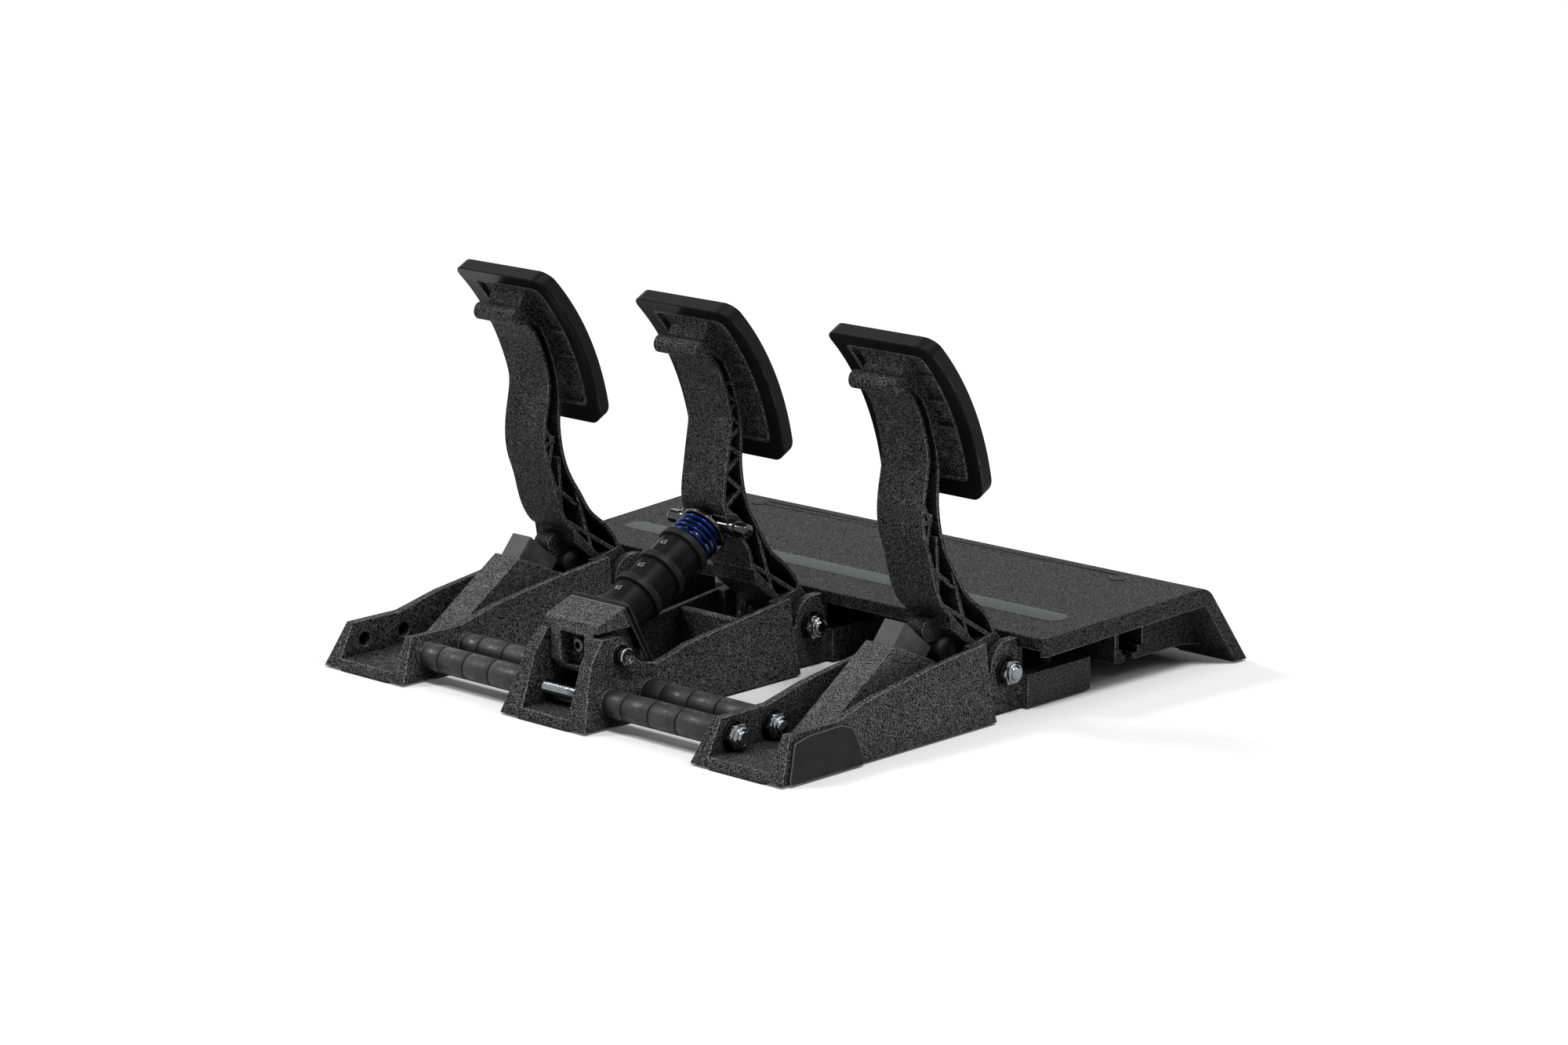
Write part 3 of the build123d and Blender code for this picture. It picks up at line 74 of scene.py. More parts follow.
# Studio: a plain white floor under three soft lamps far away, in an even white surround.
# The camera stands beyond the rods, on the clutch's side, and looks back at the heel plate.
camera = bpy.data.objects.new("camera", bpy.data.cameras.new("camera"))
camera_height_angle, camera_bearing = 13.1866, 223.2588
camera.location = (-1.67081, 1.76954, 0.65082)
camera.rotation_euler = (radians(90 - camera_height_angle), 0, radians(camera_bearing))
camera.data.lens = 102.14
camera.data.sensor_width = 36
camera.data.clip_end = 100
bpy.context.scene.collection.objects.link(camera)
bpy.context.scene.camera = camera
bpy.context.scene.view_settings.view_transform = "Standard"


def soft_sun(name, bearing, height, strength, width):
    """A lamp far away: bearing from +Y towards +X, height over the floor, all in degrees."""
    lamp = bpy.data.objects.new(name, bpy.data.lights.new(name, "SUN"))
    lamp.rotation_euler = (radians(90 - height), 0, radians(180 - bearing))
    lamp.data.energy = strength
    lamp.data.angle = radians(width)
    bpy.context.scene.collection.objects.link(lamp)


soft_sun("key_lamp", bearing=-60, height=64, strength=1.9, width=14)
soft_sun("left_lamp", bearing=58, height=43, strength=1.1, width=14)
soft_sun("front_lamp", bearing=-118, height=48, strength=0.5, width=30)


def combined(nodes, links, operation, first, second):
    """Two numbers made one: their product, or the larger of the two."""
    step = nodes.new("ShaderNodeMath")
    step.operation = operation
    links.new(first, step.inputs[0])
    links.new(second, step.inputs[1])
    return step.outputs[0]


def carried_over(nodes, links, value, start, end, low, high):
    """A value between start and end, carried in proportion to one between low and high."""
    step = nodes.new("ShaderNodeMapRange")
    step.inputs["From Min"].default_value = start
    step.inputs["From Max"].default_value = end
    step.inputs["To Min"].default_value = low
    step.inputs["To Max"].default_value = high
    links.new(value, step.inputs["Value"])
    return step.outputs["Result"]


def seen_rays(nodes, links):
    """One where the ray comes from the camera, a mirror-like surface or through glass."""
    path = nodes.new("ShaderNodeLightPath")
    direct = combined(nodes, links, "MAXIMUM", path.outputs["Is Camera Ray"],
                      path.outputs["Is Glossy Ray"])
    return combined(nodes, links, "MAXIMUM", direct, path.outputs["Is Transmission Ray"])


sky_light, sky_seen = 0.16, 1.0
surround = bpy.data.worlds.new("surround")
surround.use_nodes = True
sky_nodes, sky_links = surround.node_tree.nodes, surround.node_tree.links
sky = sky_nodes["Background"]
sky.inputs["Color"].default_value = (1, 1, 1, 1)
sky_links.new(carried_over(sky_nodes, sky_links, seen_rays(sky_nodes, sky_links), 0, 1,
                           sky_light, sky_seen), sky.inputs["Strength"])
bpy.context.scene.world = surround

floor_half = 9.0
floor_white, floor_rough, floor_glow = 0.86, 0.9, 0.2
floor_mesh = bpy.data.meshes.new("floor")
floor_mesh.from_pydata([(-floor_half, -floor_half, 0), (floor_half, -floor_half, 0),
                        (floor_half, floor_half, 0), (-floor_half, floor_half, 0)],
                       [], [(0, 1, 2, 3)])
floor_paint = bpy.data.materials.new("floor_paint")
floor_paint.use_nodes = True
floor_nodes, floor_links = floor_paint.node_tree.nodes, floor_paint.node_tree.links
floor_shade = floor_nodes["Principled BSDF"]
floor_shade.inputs["Base Color"].default_value = (floor_white, floor_white, floor_white, 1)
floor_shade.inputs["Roughness"].default_value = floor_rough
floor_shade.inputs["Specular IOR Level"].default_value = 0.0
floor_shade.inputs["Emission Color"].default_value = (1, 1, 1, 1)

# The floor's faint glow fades out under the set, which paints a shadow on the floor there:
# the place on the floor over half the set's size, and of its two sides the larger, from
# inside the footprint to beyond it.
footprint_half = (0.193, 0.183, 1)
footprint_inside, footprint_outside = 0.85, 1.05
share = floor_nodes.new("ShaderNodeVectorMath")
share.operation = "DIVIDE"
share.inputs[1].default_value = footprint_half
floor_links.new(floor_nodes.new("ShaderNodeTexCoord").outputs["Object"], share.inputs[0])
distance = floor_nodes.new("ShaderNodeVectorMath")
distance.operation = "ABSOLUTE"
floor_links.new(share.outputs["Vector"], distance.inputs[0])
sides = floor_nodes.new("ShaderNodeSeparateXYZ")
floor_links.new(distance.outputs["Vector"], sides.inputs[0])
furthest = combined(floor_nodes, floor_links, "MAXIMUM", sides.outputs["X"], sides.outputs["Y"])
painted_shadow_fade = carried_over(floor_nodes, floor_links, furthest, footprint_inside, footprint_outside,
                       0, 1)
seen_glow = carried_over(floor_nodes, floor_links, seen_rays(floor_nodes, floor_links), 0, 1,
                         0, floor_glow)
floor_links.new(combined(floor_nodes, floor_links, "MULTIPLY", seen_glow, painted_shadow_fade),
                floor_shade.inputs["Emission Strength"])
floor_mesh.materials.append(floor_paint)
floor = bpy.data.objects.new("floor", floor_mesh)
bpy.context.scene.collection.objects.link(floor)


# Pedal frames: three open channels moulded in black glass-filled nylon, with a coarse grain
# that catches the light. Each edge of the mould is slightly rounded and painted paler as a
# highlight, and corners and pockets are painted darker as shade.
def new_finish(name, gloss, metal=0.0):
    """A plain material with its shader, and the place on the piece that patterns read."""
    finish = bpy.data.materials.new(name)
    finish.use_nodes = True
    nodes, links = finish.node_tree.nodes, finish.node_tree.links
    shade = nodes["Principled BSDF"]
    shade.inputs["Specular IOR Level"].default_value = gloss
    shade.inputs["Metallic"].default_value = metal
    return finish, nodes, links, shade, nodes.new("ShaderNodeTexCoord").outputs["Object"]


def noise_at(nodes, links, place, scale, detail):
    """Noise between 0 and 1 at a place: its waves to the metre and its finer layers."""
    cloud = nodes.new("ShaderNodeTexNoise")
    cloud.inputs["Scale"].default_value = scale
    cloud.inputs["Detail"].default_value = detail
    links.new(place, cloud.inputs["Vector"])
    return cloud.outputs["Fac"]


def two_tones(nodes, links, value, low, dark, high, light):
    """Dark where a value is under low, light where it is over high, and a blend between."""
    tone = nodes.new("ShaderNodeValToRGB")
    tone.color_ramp.elements[0].position = low
    tone.color_ramp.elements[0].color = (*dark, 1)
    tone.color_ramp.elements[1].position = high
    tone.color_ramp.elements[1].color = (*light, 1)
    links.new(value, tone.inputs["Fac"])
    return tone.outputs["Color"]


def raised(nodes, links, shade, value, lift, height):
    """A surface that rises with a value between 0 and 1, to a share of a full height."""
    bump = nodes.new("ShaderNodeBump")
    bump.inputs["Strength"].default_value = lift
    bump.inputs["Distance"].default_value = height
    links.new(value, bump.inputs["Height"])
    links.new(bump.outputs["Normal"], shade.inputs["Normal"])


grain_middle, grain_height = 0.52, 0.4 * mm
patch_grains, patch_low, patch_high = 9, 0.3, 0.7
# Painted shade in corners and pockets: how far the occlusion looks, and the occlusion below which
# the colour is darkest and above which it is full.
painted_shade_reach, full_shade_occlusion, unshaded_occlusion = 16 * mm, 0.35, 0.9
shine_low, shine_high, duller, shinier = 0.35, 0.7, 0.12, 0.1


def grain_finish(name, dark, light, grain, rough=0.55, lift=0.5, gloss=0.08, blotch=0.2,
                 sharp=0.03, depth=0.75):
    """Grained nylon: fine noise picks dark or light within a narrow band round its middle, a
    wider noise makes it lighter or darker in patches, and the fine noise also lifts the
    surface. Corners and pockets are darker by the depth's share: painted shade, from an
    occlusion node that darkens the colour where other faces close round."""
    finish, nodes, links, shade, place = new_finish(name, gloss)
    speck = noise_at(nodes, links, place, grain, 1.0)
    tone = two_tones(nodes, links, speck, grain_middle - sharp, dark, grain_middle + sharp,
                     light)
    patches = noise_at(nodes, links, place, grain / patch_grains, 2.0)
    shading = carried_over(nodes, links, patches, patch_low, patch_high, 1 - blotch, 1 + blotch)
    # Painted shade: an occlusion node darkens the colour in corners and pockets, by the depth's
    # share at most.
    recess_occlusion = nodes.new("ShaderNodeAmbientOcclusion")
    recess_occlusion.samples = 3
    recess_occlusion.inputs["Distance"].default_value = painted_shade_reach
    painted_recess_shade = carried_over(nodes, links, recess_occlusion.outputs["AO"], full_shade_occlusion, unshaded_occlusion, 1 - depth, 1)
    colour = nodes.new("ShaderNodeVectorMath")
    colour.operation = "SCALE"
    links.new(tone, colour.inputs[0])
    links.new(combined(nodes, links, "MULTIPLY", shading, painted_recess_shade), colour.inputs["Scale"])
    links.new(colour.outputs["Vector"], shade.inputs["Base Color"])
    links.new(carried_over(nodes, links, speck, shine_low, shine_high, rough + duller,
                           rough - shinier), shade.inputs["Roughness"])
    raised(nodes, links, shade, speck, lift, grain_height)
    return finish


merged_gap, flat_angle = 0.01 * mm, radians(0.6)
corner_angle, crease_angle = radians(40), radians(32)


def rounded_copy(node, width, finish, highlight_finish=None, below=1.0):
    """A copy of a CAD piece: doubles merged, flat triangles joined into convex faces, and
    outer corners rounded where they lie below a height in metres. A corner is an edge whose
    faces turn away by more than the corner's angle. The rounding takes the paler edge
    finish, a painted highlight along the edges."""
    source = frame["nodes"][node]
    mesh = bpy.data.meshes.new(node + "_rounded")
    work = bmesh.new()
    work.from_mesh(source.data)
    bmesh.ops.remove_doubles(work, verts=work.verts, dist=merged_gap)
    bmesh.ops.dissolve_limit(work, angle_limit=flat_angle, verts=work.verts, edges=work.edges)
    bmesh.ops.connect_verts_concave(work, faces=work.faces)
    weight = work.edges.layers.float.new("bevel_weight_edge")
    for edge in work.edges:
        corner = len(edge.link_faces) == 2 and edge.calc_face_angle_signed(0.0) > corner_angle
        if corner and max(end.co.z for end in edge.verts) < below:
            edge[weight] = 1.0
    work.to_mesh(mesh)
    work.free()
    mesh.materials.clear()
    mesh.materials.append(finish)
    mesh.shade_smooth()
    mesh.set_sharp_from_angle(angle=crease_angle)
    piece = bpy.data.objects.new(node + "_rounded", mesh)
    bpy.context.scene.collection.objects.link(piece)
    if width:
        bevel = piece.modifiers.new("rounded_edges", "BEVEL")
        bevel.width = width
        bevel.segments = 2
        bevel.limit_method = "WEIGHT"
        bevel.use_clamp_overlap = False
        bevel.miter_outer = "MITER_ARC"
        even = piece.modifiers.new("even_normals", "WEIGHTED_NORMAL")
        even.keep_sharp = True
        # The bevel's faces take the paler finish: a painted highlight along the rounded edges.
        if highlight_finish:
            mesh.materials.append(highlight_finish)
            bevel.material = 1
    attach(piece, source["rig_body"])
    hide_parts(node)


pedals = ("throttle", "brake", "clutch")
frame_nylon = grain_finish("frame_nylon", (0.002, 0.002, 0.0021), (0.115, 0.115, 0.118), 1400)
# A paler copy of the grain for rounded edges: a painted highlight where the edges catch the light.
edge_highlight_nylon = grain_finish("edge_highlight_nylon", (0.05, 0.05, 0.051), (0.24, 0.24, 0.245), 1400)
frame_round = 0.45 * mm
for pedal in pedals:
    rounded_copy(pedal + "_frame", frame_round, frame_nylon, edge_highlight_nylon)


# Corner caps: smooth satin covers, moulded in black plastic and clipped round the outer far
# corners of the outer frames. Their edges are a little shinier than their faces, and painted
# paler as a highlight.
wave_height, wave_low, wave_high, rough_share = 0.2 * mm, 0.3, 0.7, 0.15


def smooth_finish(name, colour, rough, gloss=0.5, waves=120, lift=0.05, spread=0.3, metal=0.0):
    """A smooth moulding, paint or metal: a wide noise shades its colour and roughness a
    little and leaves the surface faintly uneven."""
    finish, nodes, links, shade, place = new_finish(name, gloss, metal)
    cloud = noise_at(nodes, links, place, waves, 4.0)
    tone = two_tones(nodes, links, cloud, wave_low, [c * (1 - spread) for c in colour],
                     wave_high, [c * (1 + spread) for c in colour])
    links.new(tone, shade.inputs["Base Color"])
    links.new(carried_over(nodes, links, cloud, 0, 1, rough * (1 - rough_share),
                           rough * (1 + rough_share)), shade.inputs["Roughness"])
    raised(nodes, links, shade, cloud, lift, wave_height)
    return finish


cap_satin = smooth_finish("cap_satin", (0.012, 0.012, 0.013), 0.42, gloss=0.12)
# The rounded edges' finish: a shinier gloss, and a paler colour that is a painted highlight.
cap_edge_highlight = smooth_finish("cap_edge_highlight", (0.06, 0.06, 0.062), 0.35, gloss=0.4)
rounded_copy("corner_caps", frame_round, cap_satin, cap_edge_highlight)


# Tie rods: two 8 mm steel rods, threaded where nuts hold them and where they show bare in
# the brake's channel, zinc plated.
surface_crease = radians(34)


def surface(name, grids, looped, finish, slot, body, *nodes):
    """One mesh from grids of points. Each row of a grid is a ring, joined to the next by
    four-sided faces; the end rings are closed, or joined to each other when looped. The
    faces are turned round where the volume they hold, a sum of products, is negative."""
    points, faces, first = [], [], 0
    for grid in grids:
        rows, columns = grid.shape[:2]
        here = np.arange(rows * columns).reshape(rows, columns)
        below = np.roll(here, -1, axis=0) if looped else here[1:]
        above = here if looped else here[:-1]
        quads = np.stack([above, np.roll(above, -1, axis=1), np.roll(below, -1, axis=1), below],
                         axis=-1).reshape(-1, 4)
        corner = grid.reshape(-1, 3) - grid.reshape(-1, 3).mean(axis=0)
        a, b, c, d = (corner[quads[:, i]] for i in range(4))
        volume = (a * np.cross(b, c)).sum() + (a * np.cross(c, d)).sum()
        if volume < 0:
            quads = quads[:, ::-1]
        faces += (quads + first).tolist()
        if not looped:
            ends = [here[0][::-1], here[-1]] if volume > 0 else [here[0], here[-1][::-1]]
            faces += [(end + first).tolist() for end in ends]
        points.append(grid.reshape(-1, 3))
        first += rows * columns
    mesh = bpy.data.meshes.new(name)
    mesh.from_pydata(np.concatenate(points).tolist(), [], faces)
    mesh.materials.append(finish)
    mesh.shade_smooth()
    mesh.set_sharp_from_angle(angle=surface_crease)
    piece = bpy.data.objects.new(name, mesh)
    bpy.context.scene.collection.objects.link(piece)
    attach(piece, body)
    if nodes:
        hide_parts(*nodes)
    return piece


def threaded(start, direction, ends, spans, radius, pitch=1.25, depth=0.72, chamfer=0.9,
             steps=8, count=32):
    """A rod between two places. In each span the radius drops by a triangle wave of the
    place over the pitch less the angle's share of a turn; it fades in over one turn. At both
    ends the radius is at most the full one less the chamfer's rest."""
    places = [np.linspace(a, b, max(int((b - a) / pitch * steps), 2)) for a, b in spans]
    reach = np.unique(np.concatenate([np.array(ends, float), *places]))
    angle = np.linspace(0, tau, count, endpoint=False)
    wave = np.abs(2 * ((reach[:, None] / pitch - angle / tau) % 1) - 1)
    fade = np.zeros(len(reach))
    for a, b in spans:
        near = np.minimum(reach - a, b - reach) / pitch
        fade = np.maximum(fade, np.clip(near, 0, 1))
    wide = radius - depth * wave * fade[:, None]
    from_end = np.minimum(reach - ends[0], ends[1] - reach)
    wide = np.minimum(wide, radius - chamfer + from_end[:, None])
    along = np.array(direction, float)
    side = np.array((0.0, 0.0, 1.0))
    other = np.cross(along, side)
    ring = np.cos(angle)[:, None] * side + np.sin(angle)[:, None] * other
    place = np.array(start, float) + reach[:, None] * along
    return (place[:, None, :] + wide[:, :, None] * ring[None]) * mm


zinc = smooth_finish("zinc_plate", (0.24, 0.243, 0.25), 0.15, waves=400, lift=0.005, spread=0.12,
                     metal=1.0)
rod_places = (162.55, 133.05)
rod_height, rod_end, rod_radius = 14.2, 130.9, 4.0
rod_thread_from, rod_bare_half = 118, 30
rod_threads = ((-rod_end, -rod_thread_from), (-rod_bare_half, rod_bare_half),
               (rod_thread_from, rod_end))
rods = [threaded((0, y, rod_height), (1, 0, 0), (-rod_end, rod_end), rod_threads, rod_radius)
        for y in rod_places]
surface("threaded_tie_rods", rods, False, zinc, "bright_steel", "base", "tie_rods")


# Spacer tubes: short moulded tubes, four on each rod between two frames, with a fine joint
# where two meet. Their plastic is smooth and faintly mottled.
def turned(start, direction, profile, count=64, limit=None):
    """A profile of places along a line and radii, in mm, carried round that line. Where a
    limit is given, the radius at each angle is at most that of its outline."""
    along = np.array(direction, float) / np.linalg.norm(direction)
    side = np.cross(along, (1.0, 0.0, 0.0))
    if np.linalg.norm(side) < 0.5:
        side = np.array((0.0, 0.0, 1.0))
    side /= np.linalg.norm(side)
    other = np.cross(along, side)
    angle = np.linspace(0, tau, count, endpoint=False)
    reach, radius = np.array(profile, float).T
    radius = np.repeat(radius[:, None], count, axis=1)
    if limit is not None:
        radius = np.minimum(radius, limit(angle)[None, :])
    ring = np.cos(angle)[:, None] * side + np.sin(angle)[:, None] * other
    place = np.array(start, float) + reach[:, None] * along
    return (place[:, None, :] + radius[:, :, None] * ring[None]) * mm


def rimmed(low, high, bore, radius, rim):
    """The profile of a tube whose rims are pairs of a distance from the end and a drop in
    radius, the same at both ends."""
    near = [(low + along, radius - drop) for along, drop in rim]
    far = [(high - along, radius - drop) for along, drop in reversed(rim)]
    return [(low, bore), *near, *far, (high, bore)]


spacer_plastic = grain_finish("spacer_plastic", (0.012, 0.012, 0.0125), (0.026, 0.026, 0.027), 300,
                              rough=0.42, lift=0.03, gloss=0.35, blotch=0.15, sharp=0.2)
pedal_pitch = 144.0
spacer_bore, spacer_radius, spacer_gap = 4.15, 7.7, 0.3
spacer_rim = ((0, 0.6), (0.15, 0.2), (0.5, 0))
spacer_seat, spacer_run = 31.675, 80.65
spacer_joints = (0.0, 0.178, 0.430, 0.683, 1.0)
tubes = []
for y in rod_places:
    for frame_x in (pedal_pitch, 0.0):
        for near, far in zip(spacer_joints[:-1], spacer_joints[1:]):
            tube = rimmed(near * spacer_run + spacer_gap, far * spacer_run - spacer_gap,
                          spacer_bore, spacer_radius, spacer_rim)
            tubes.append(turned((frame_x - spacer_seat, y, rod_height), (-1, 0, 0), tube))
surface("spacer_tube_rows", tubes, True, spacer_plastic, "spacer_plastic", "base",
        "spacer_tubes")


# Washers and lock nuts: zinc-plated hexagon nuts 13 mm across with a round locking collar,
# on flat black washers, at the ends of the rods and of the pivot bolts.
def hexagon(across):
    """The radius of a hexagon at an angle: half its width over the cosine from the flat."""
    return lambda angle: across / 2 / np.cos((angle + pi / 6) % (pi / 3) - pi / 6)


def washer_ring(start, side, outer, bore, thick):
    """A flat ring along X with rounded rims, the softer one on the outside."""
    inner_rim, outer_rim = 0.3, 0.4
    profile = [(0, bore), (0, outer - inner_rim), (inner_rim, outer), (thick - outer_rim, outer),
               (thick, outer - outer_rim), (thick, bore + inner_rim), (thick - inner_rim, bore)]
    return turned(start, (side, 0, 0), profile)


nut_across, nut_corner, nut_bore, nut_count = 13.0, 7.42, 4.0, 96
nut_hexagon = [(0, nut_bore), (0, 6.4), (0.5, nut_corner), (3.75, nut_corner), (4.35, 6.35)]
nut_collar = [(4.45, 5.75), (5.7, 5.7), (6.25, 5.3), (6.5, 4.7), (6.2, nut_bore)]


def lock_nut(start, side):
    """A hexagon with turned chamfers, then a collar that narrows, round a plain bore."""
    return turned(start, (side, 0, 0), nut_hexagon + nut_collar, nut_count,
                  hexagon(nut_across))


pivot_y, pivot_z, lug_half = -4.45, 24.2, 22.0
pedal_places = (pedal_pitch, 0.0, -pedal_pitch)
rod_seat = 122.0
washer_outer, washer_thick = 8.0, 1.4
rod_washer_bore, bolt_washer_bore = 4.1, 4.05
rod_washers = [washer_ring((side * rod_seat, y, rod_height), side, washer_outer,
                           rod_washer_bore, washer_thick)
               for y in rod_places for side in (1, -1)]
pivot_washers = [washer_ring((x - lug_half, pivot_y, pivot_z), -1, washer_outer,
                             bolt_washer_bore, washer_thick)
                 for x in pedal_places]
black_zinc = smooth_finish("black_zinc", (0.012, 0.012, 0.0125), 0.3, waves=300, lift=0.01,
                           metal=1.0)
surface("rod_washers", rod_washers, True, black_zinc, "bright_steel", "base",
        "tie_rod_washers")
surface("bolt_washers", pivot_washers, True, black_zinc, "bright_steel", "base",
        "pivot_washers")
rod_nuts = [lock_nut((side * (rod_seat + washer_thick), y, rod_height), side)
            for y in rod_places for side in (1, -1)]
pivot_nuts = [lock_nut((x - lug_half - washer_thick, pivot_y, pivot_z), -1)
              for x in pedal_places]
surface("rod_lock_nuts", rod_nuts, True, zinc, "bright_steel", "base", "tie_rod_nuts")
surface("bolt_lock_nuts", pivot_nuts, True, zinc, "bright_steel", "base", "pivot_nuts")


# Pivot bolts: 8 mm hexagon bolts of zinc-plated steel through the lugs and the hub of each
# arm, threaded at the nut's end.
bolt_end, bolt_thread_to = -30.9, -19
head_profile = [(0, 6.3), (0.2, 6.6), (0.25, nut_corner), (4.7, nut_corner), (5.2, 6.6),
                (5.3, 6.2), (5.3, 2.0)]
bolt_parts = []
for x in pedal_places:
    bolt_parts.append(threaded((x, pivot_y, pivot_z), (1, 0, 0), (bolt_end, lug_half),
                               ((bolt_end, bolt_thread_to),), rod_radius))
    bolt_parts.append(turned((x + lug_half, pivot_y, pivot_z), (1, 0, 0), head_profile,
                             nut_count, hexagon(nut_across)))
surface("hexagon_pivot_bolts", bolt_parts, False, zinc, "bright_steel", "base", "pivot_bolts")


# Frame feet: flat strips of soft black rubber, stuck across the underside of each frame near
# both of its ends, so that the set does not slide.
def cushion_block(low, high, edge, corner, count=6):
    """A flat block with a rounded plan and rounded upper and lower rims, in mm. Each ring is
    the plan drawn in by one less the sine of the rim's angle, at the cosine's height."""
    low, high = np.array(low, float), np.array(high, float)
    turn = np.linspace(0, pi / 2, count)
    rings = []
    rim = [(edge * (1 - sin(a)), low[2] + edge * (1 - cos(a))) for a in turn]
    rim += [(edge * (1 - sin(a)), high[2] - edge * (1 - cos(a))) for a in turn[::-1]]
    for inset, z in rim:
        ring = []
        for quarter, (sx, sy) in enumerate(((1, 1), (-1, 1), (-1, -1), (1, -1))):
            angle = turn + quarter * pi / 2
            cx = (high[0] if sx > 0 else low[0]) - sx * corner
            cy = (high[1] if sy > 0 else low[1]) - sy * corner
            r = corner - inset
            ring.append(np.stack([cx + r * np.cos(angle), cy + r * np.sin(angle),
                                  np.full(count, z)], axis=-1))
        rings.append(np.concatenate(ring))
    return np.stack(rings) * mm


foot_rubber = grain_finish("foot_rubber", (0.0084, 0.0084, 0.0084), (0.018, 0.018, 0.018), 700,
                           rough=0.7, lift=0.08, gloss=0.3, sharp=0.2)
foot_half, foot_thick = 20.5, 1.2
foot_edge, foot_corner = 0.35, 2.5
foot_spans = ((163.55, 183.55), (-71.95, -51.95))
foot_blocks = [cushion_block((x - foot_half, near, 0), (x + foot_half, far, foot_thick),
                             foot_edge, foot_corner)
               for x in pedal_places for near, far in foot_spans]
surface("foot_strips", foot_blocks, False, foot_rubber, "foot_rubber", "base",
        "frame_rubber_feet")


# Pivot bushes: dark grey plastic bearing rings, pressed into both ends of each arm's hub to
# turn on the pivot bolt. They keep the shape of the CAD.
def coat(node, finish):
    """The finish in every material slot of a CAD piece that keeps its own shape."""
    for place in frame["nodes"][node].material_slots:
        place.material = finish


bush_plastic = smooth_finish("bush_plastic", (0.1, 0.1, 0.1), 0.45, waves=200)
for pedal in pedals:
    coat(pedal + "_pivot_bushes", bush_plastic)


# Pedal arms: curved moulded levers with a web, ribs on both sides and a rolled top. The
# specks of their nylon are duller than the frames'. The roll's own edges stay as moulded.
arm_nylon = grain_finish("arm_nylon", (0.002, 0.002, 0.0021), (0.088, 0.088, 0.09), 1400)
arm_round, roll_height = 0.3 * mm, 15 * mm
for pedal in pedals:
    roll_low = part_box(pedal + "_arm")[1][2] - roll_height
    rounded_copy(pedal + "_arm", arm_round, arm_nylon, edge_highlight_nylon, roll_low)


# Pads: smooth satin trays, moulded with a curve for the shoe, and ribbed and grained nylon
# backs let into them, each with a hook over the roll of its arm.
pad_satin = smooth_finish("pad_satin", (0.005, 0.005, 0.0053), 0.34, gloss=0.08, waves=60,
                          spread=0.15)
# The backs' painted shade in corners and pockets is lighter than the frames'.
back_nylon = grain_finish("back_nylon", (0.004, 0.004, 0.0042), (0.16, 0.16, 0.163), 1400,
                          depth=0.4)
pad_round, back_round = 0.5 * mm, 0.3 * mm
# The rounded rims of the pads and of their backs take paler finishes: a painted highlight.
for pedal in pedals:
    rounded_copy(pedal + "_pad", pad_round, pad_satin, cap_edge_highlight)
    rounded_copy(pedal + "_pad_back", back_round, back_nylon, edge_highlight_nylon)


# Spring towers and plungers: sloping square housings on the side frames, and the smooth
# plungers that the arms' noses push into them.
side_pedals = {"throttle": pedal_pitch, "clutch": -pedal_pitch}
tower_nylon = grain_finish("tower_nylon", (0.015, 0.015, 0.0155), (0.18, 0.18, 0.183), 1600,
                           lift=0.3)
plunger_plastic = smooth_finish("plunger_plastic", (0.062, 0.062, 0.064), 0.5, gloss=0.2)
tower_round = 0.35 * mm
for pedal in side_pedals:
    rounded_copy(pedal + "_spring_tower", tower_round, tower_nylon, edge_highlight_nylon)
    rounded_copy(pedal + "_plunger", 0, plunger_plastic)


# Return springs: six turns of bright steel wire, coiled inside each tower and pressed
# between its floor and the plunger.
def wire_tube(path, axis, thick, count=12):
    """A round wire along a path: rings square to the path, turned by its angle to an axis."""
    heading = np.gradient(path, axis=0)
    heading /= np.linalg.norm(heading, axis=1)[:, None]
    up = axis - (heading @ axis)[:, None] * heading
    up /= np.linalg.norm(up, axis=1)[:, None]
    side = np.cross(heading, up)
    angle = np.linspace(0, tau, count, endpoint=False)
    ring = (np.cos(angle)[None, :, None] * up[:, None]
            + np.sin(angle)[None, :, None] * side[:, None])
    return (path[:, None] + ring * thick / 2) * mm


def line_frame(direction):
    """A direction with the two others square to it, the first along X."""
    along = np.array(direction, float)
    along /= np.linalg.norm(along)
    across = np.array((1.0, 0.0, 0.0))
    return along, across, np.cross(along, across)


spring_steel = smooth_finish("spring_steel", (0.45, 0.45, 0.46), 0.3, waves=500, metal=1.0)
tower_line, tower_across, tower_up = line_frame((0, 0.64679, -0.762668))
plunger_top = np.array((0, 50.4, 51.9))
spring_low, spring_high, spring_turns, steps_in_turn = 5.9, 43.14, 6, 32
spring_radius, spring_wire = 4.0, 1.1
for pedal, x in side_pedals.items():
    turn = np.linspace(0, 1, spring_turns * steps_in_turn + 1)[:, None]
    course = (plunger_top + (x, 0, 0)
              + (spring_low + (spring_high - spring_low) * turn) * tower_line
              + spring_radius * np.cos(turn * spring_turns * tau) * tower_across
              + spring_radius * np.sin(turn * spring_turns * tau) * tower_up)
    wire = surface(pedal + "_coil", [wire_tube(course, tower_line, spring_wire)], False,
                   spring_steel, "spring_steel", "base", pedal + "_return_spring")
    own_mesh(wire)


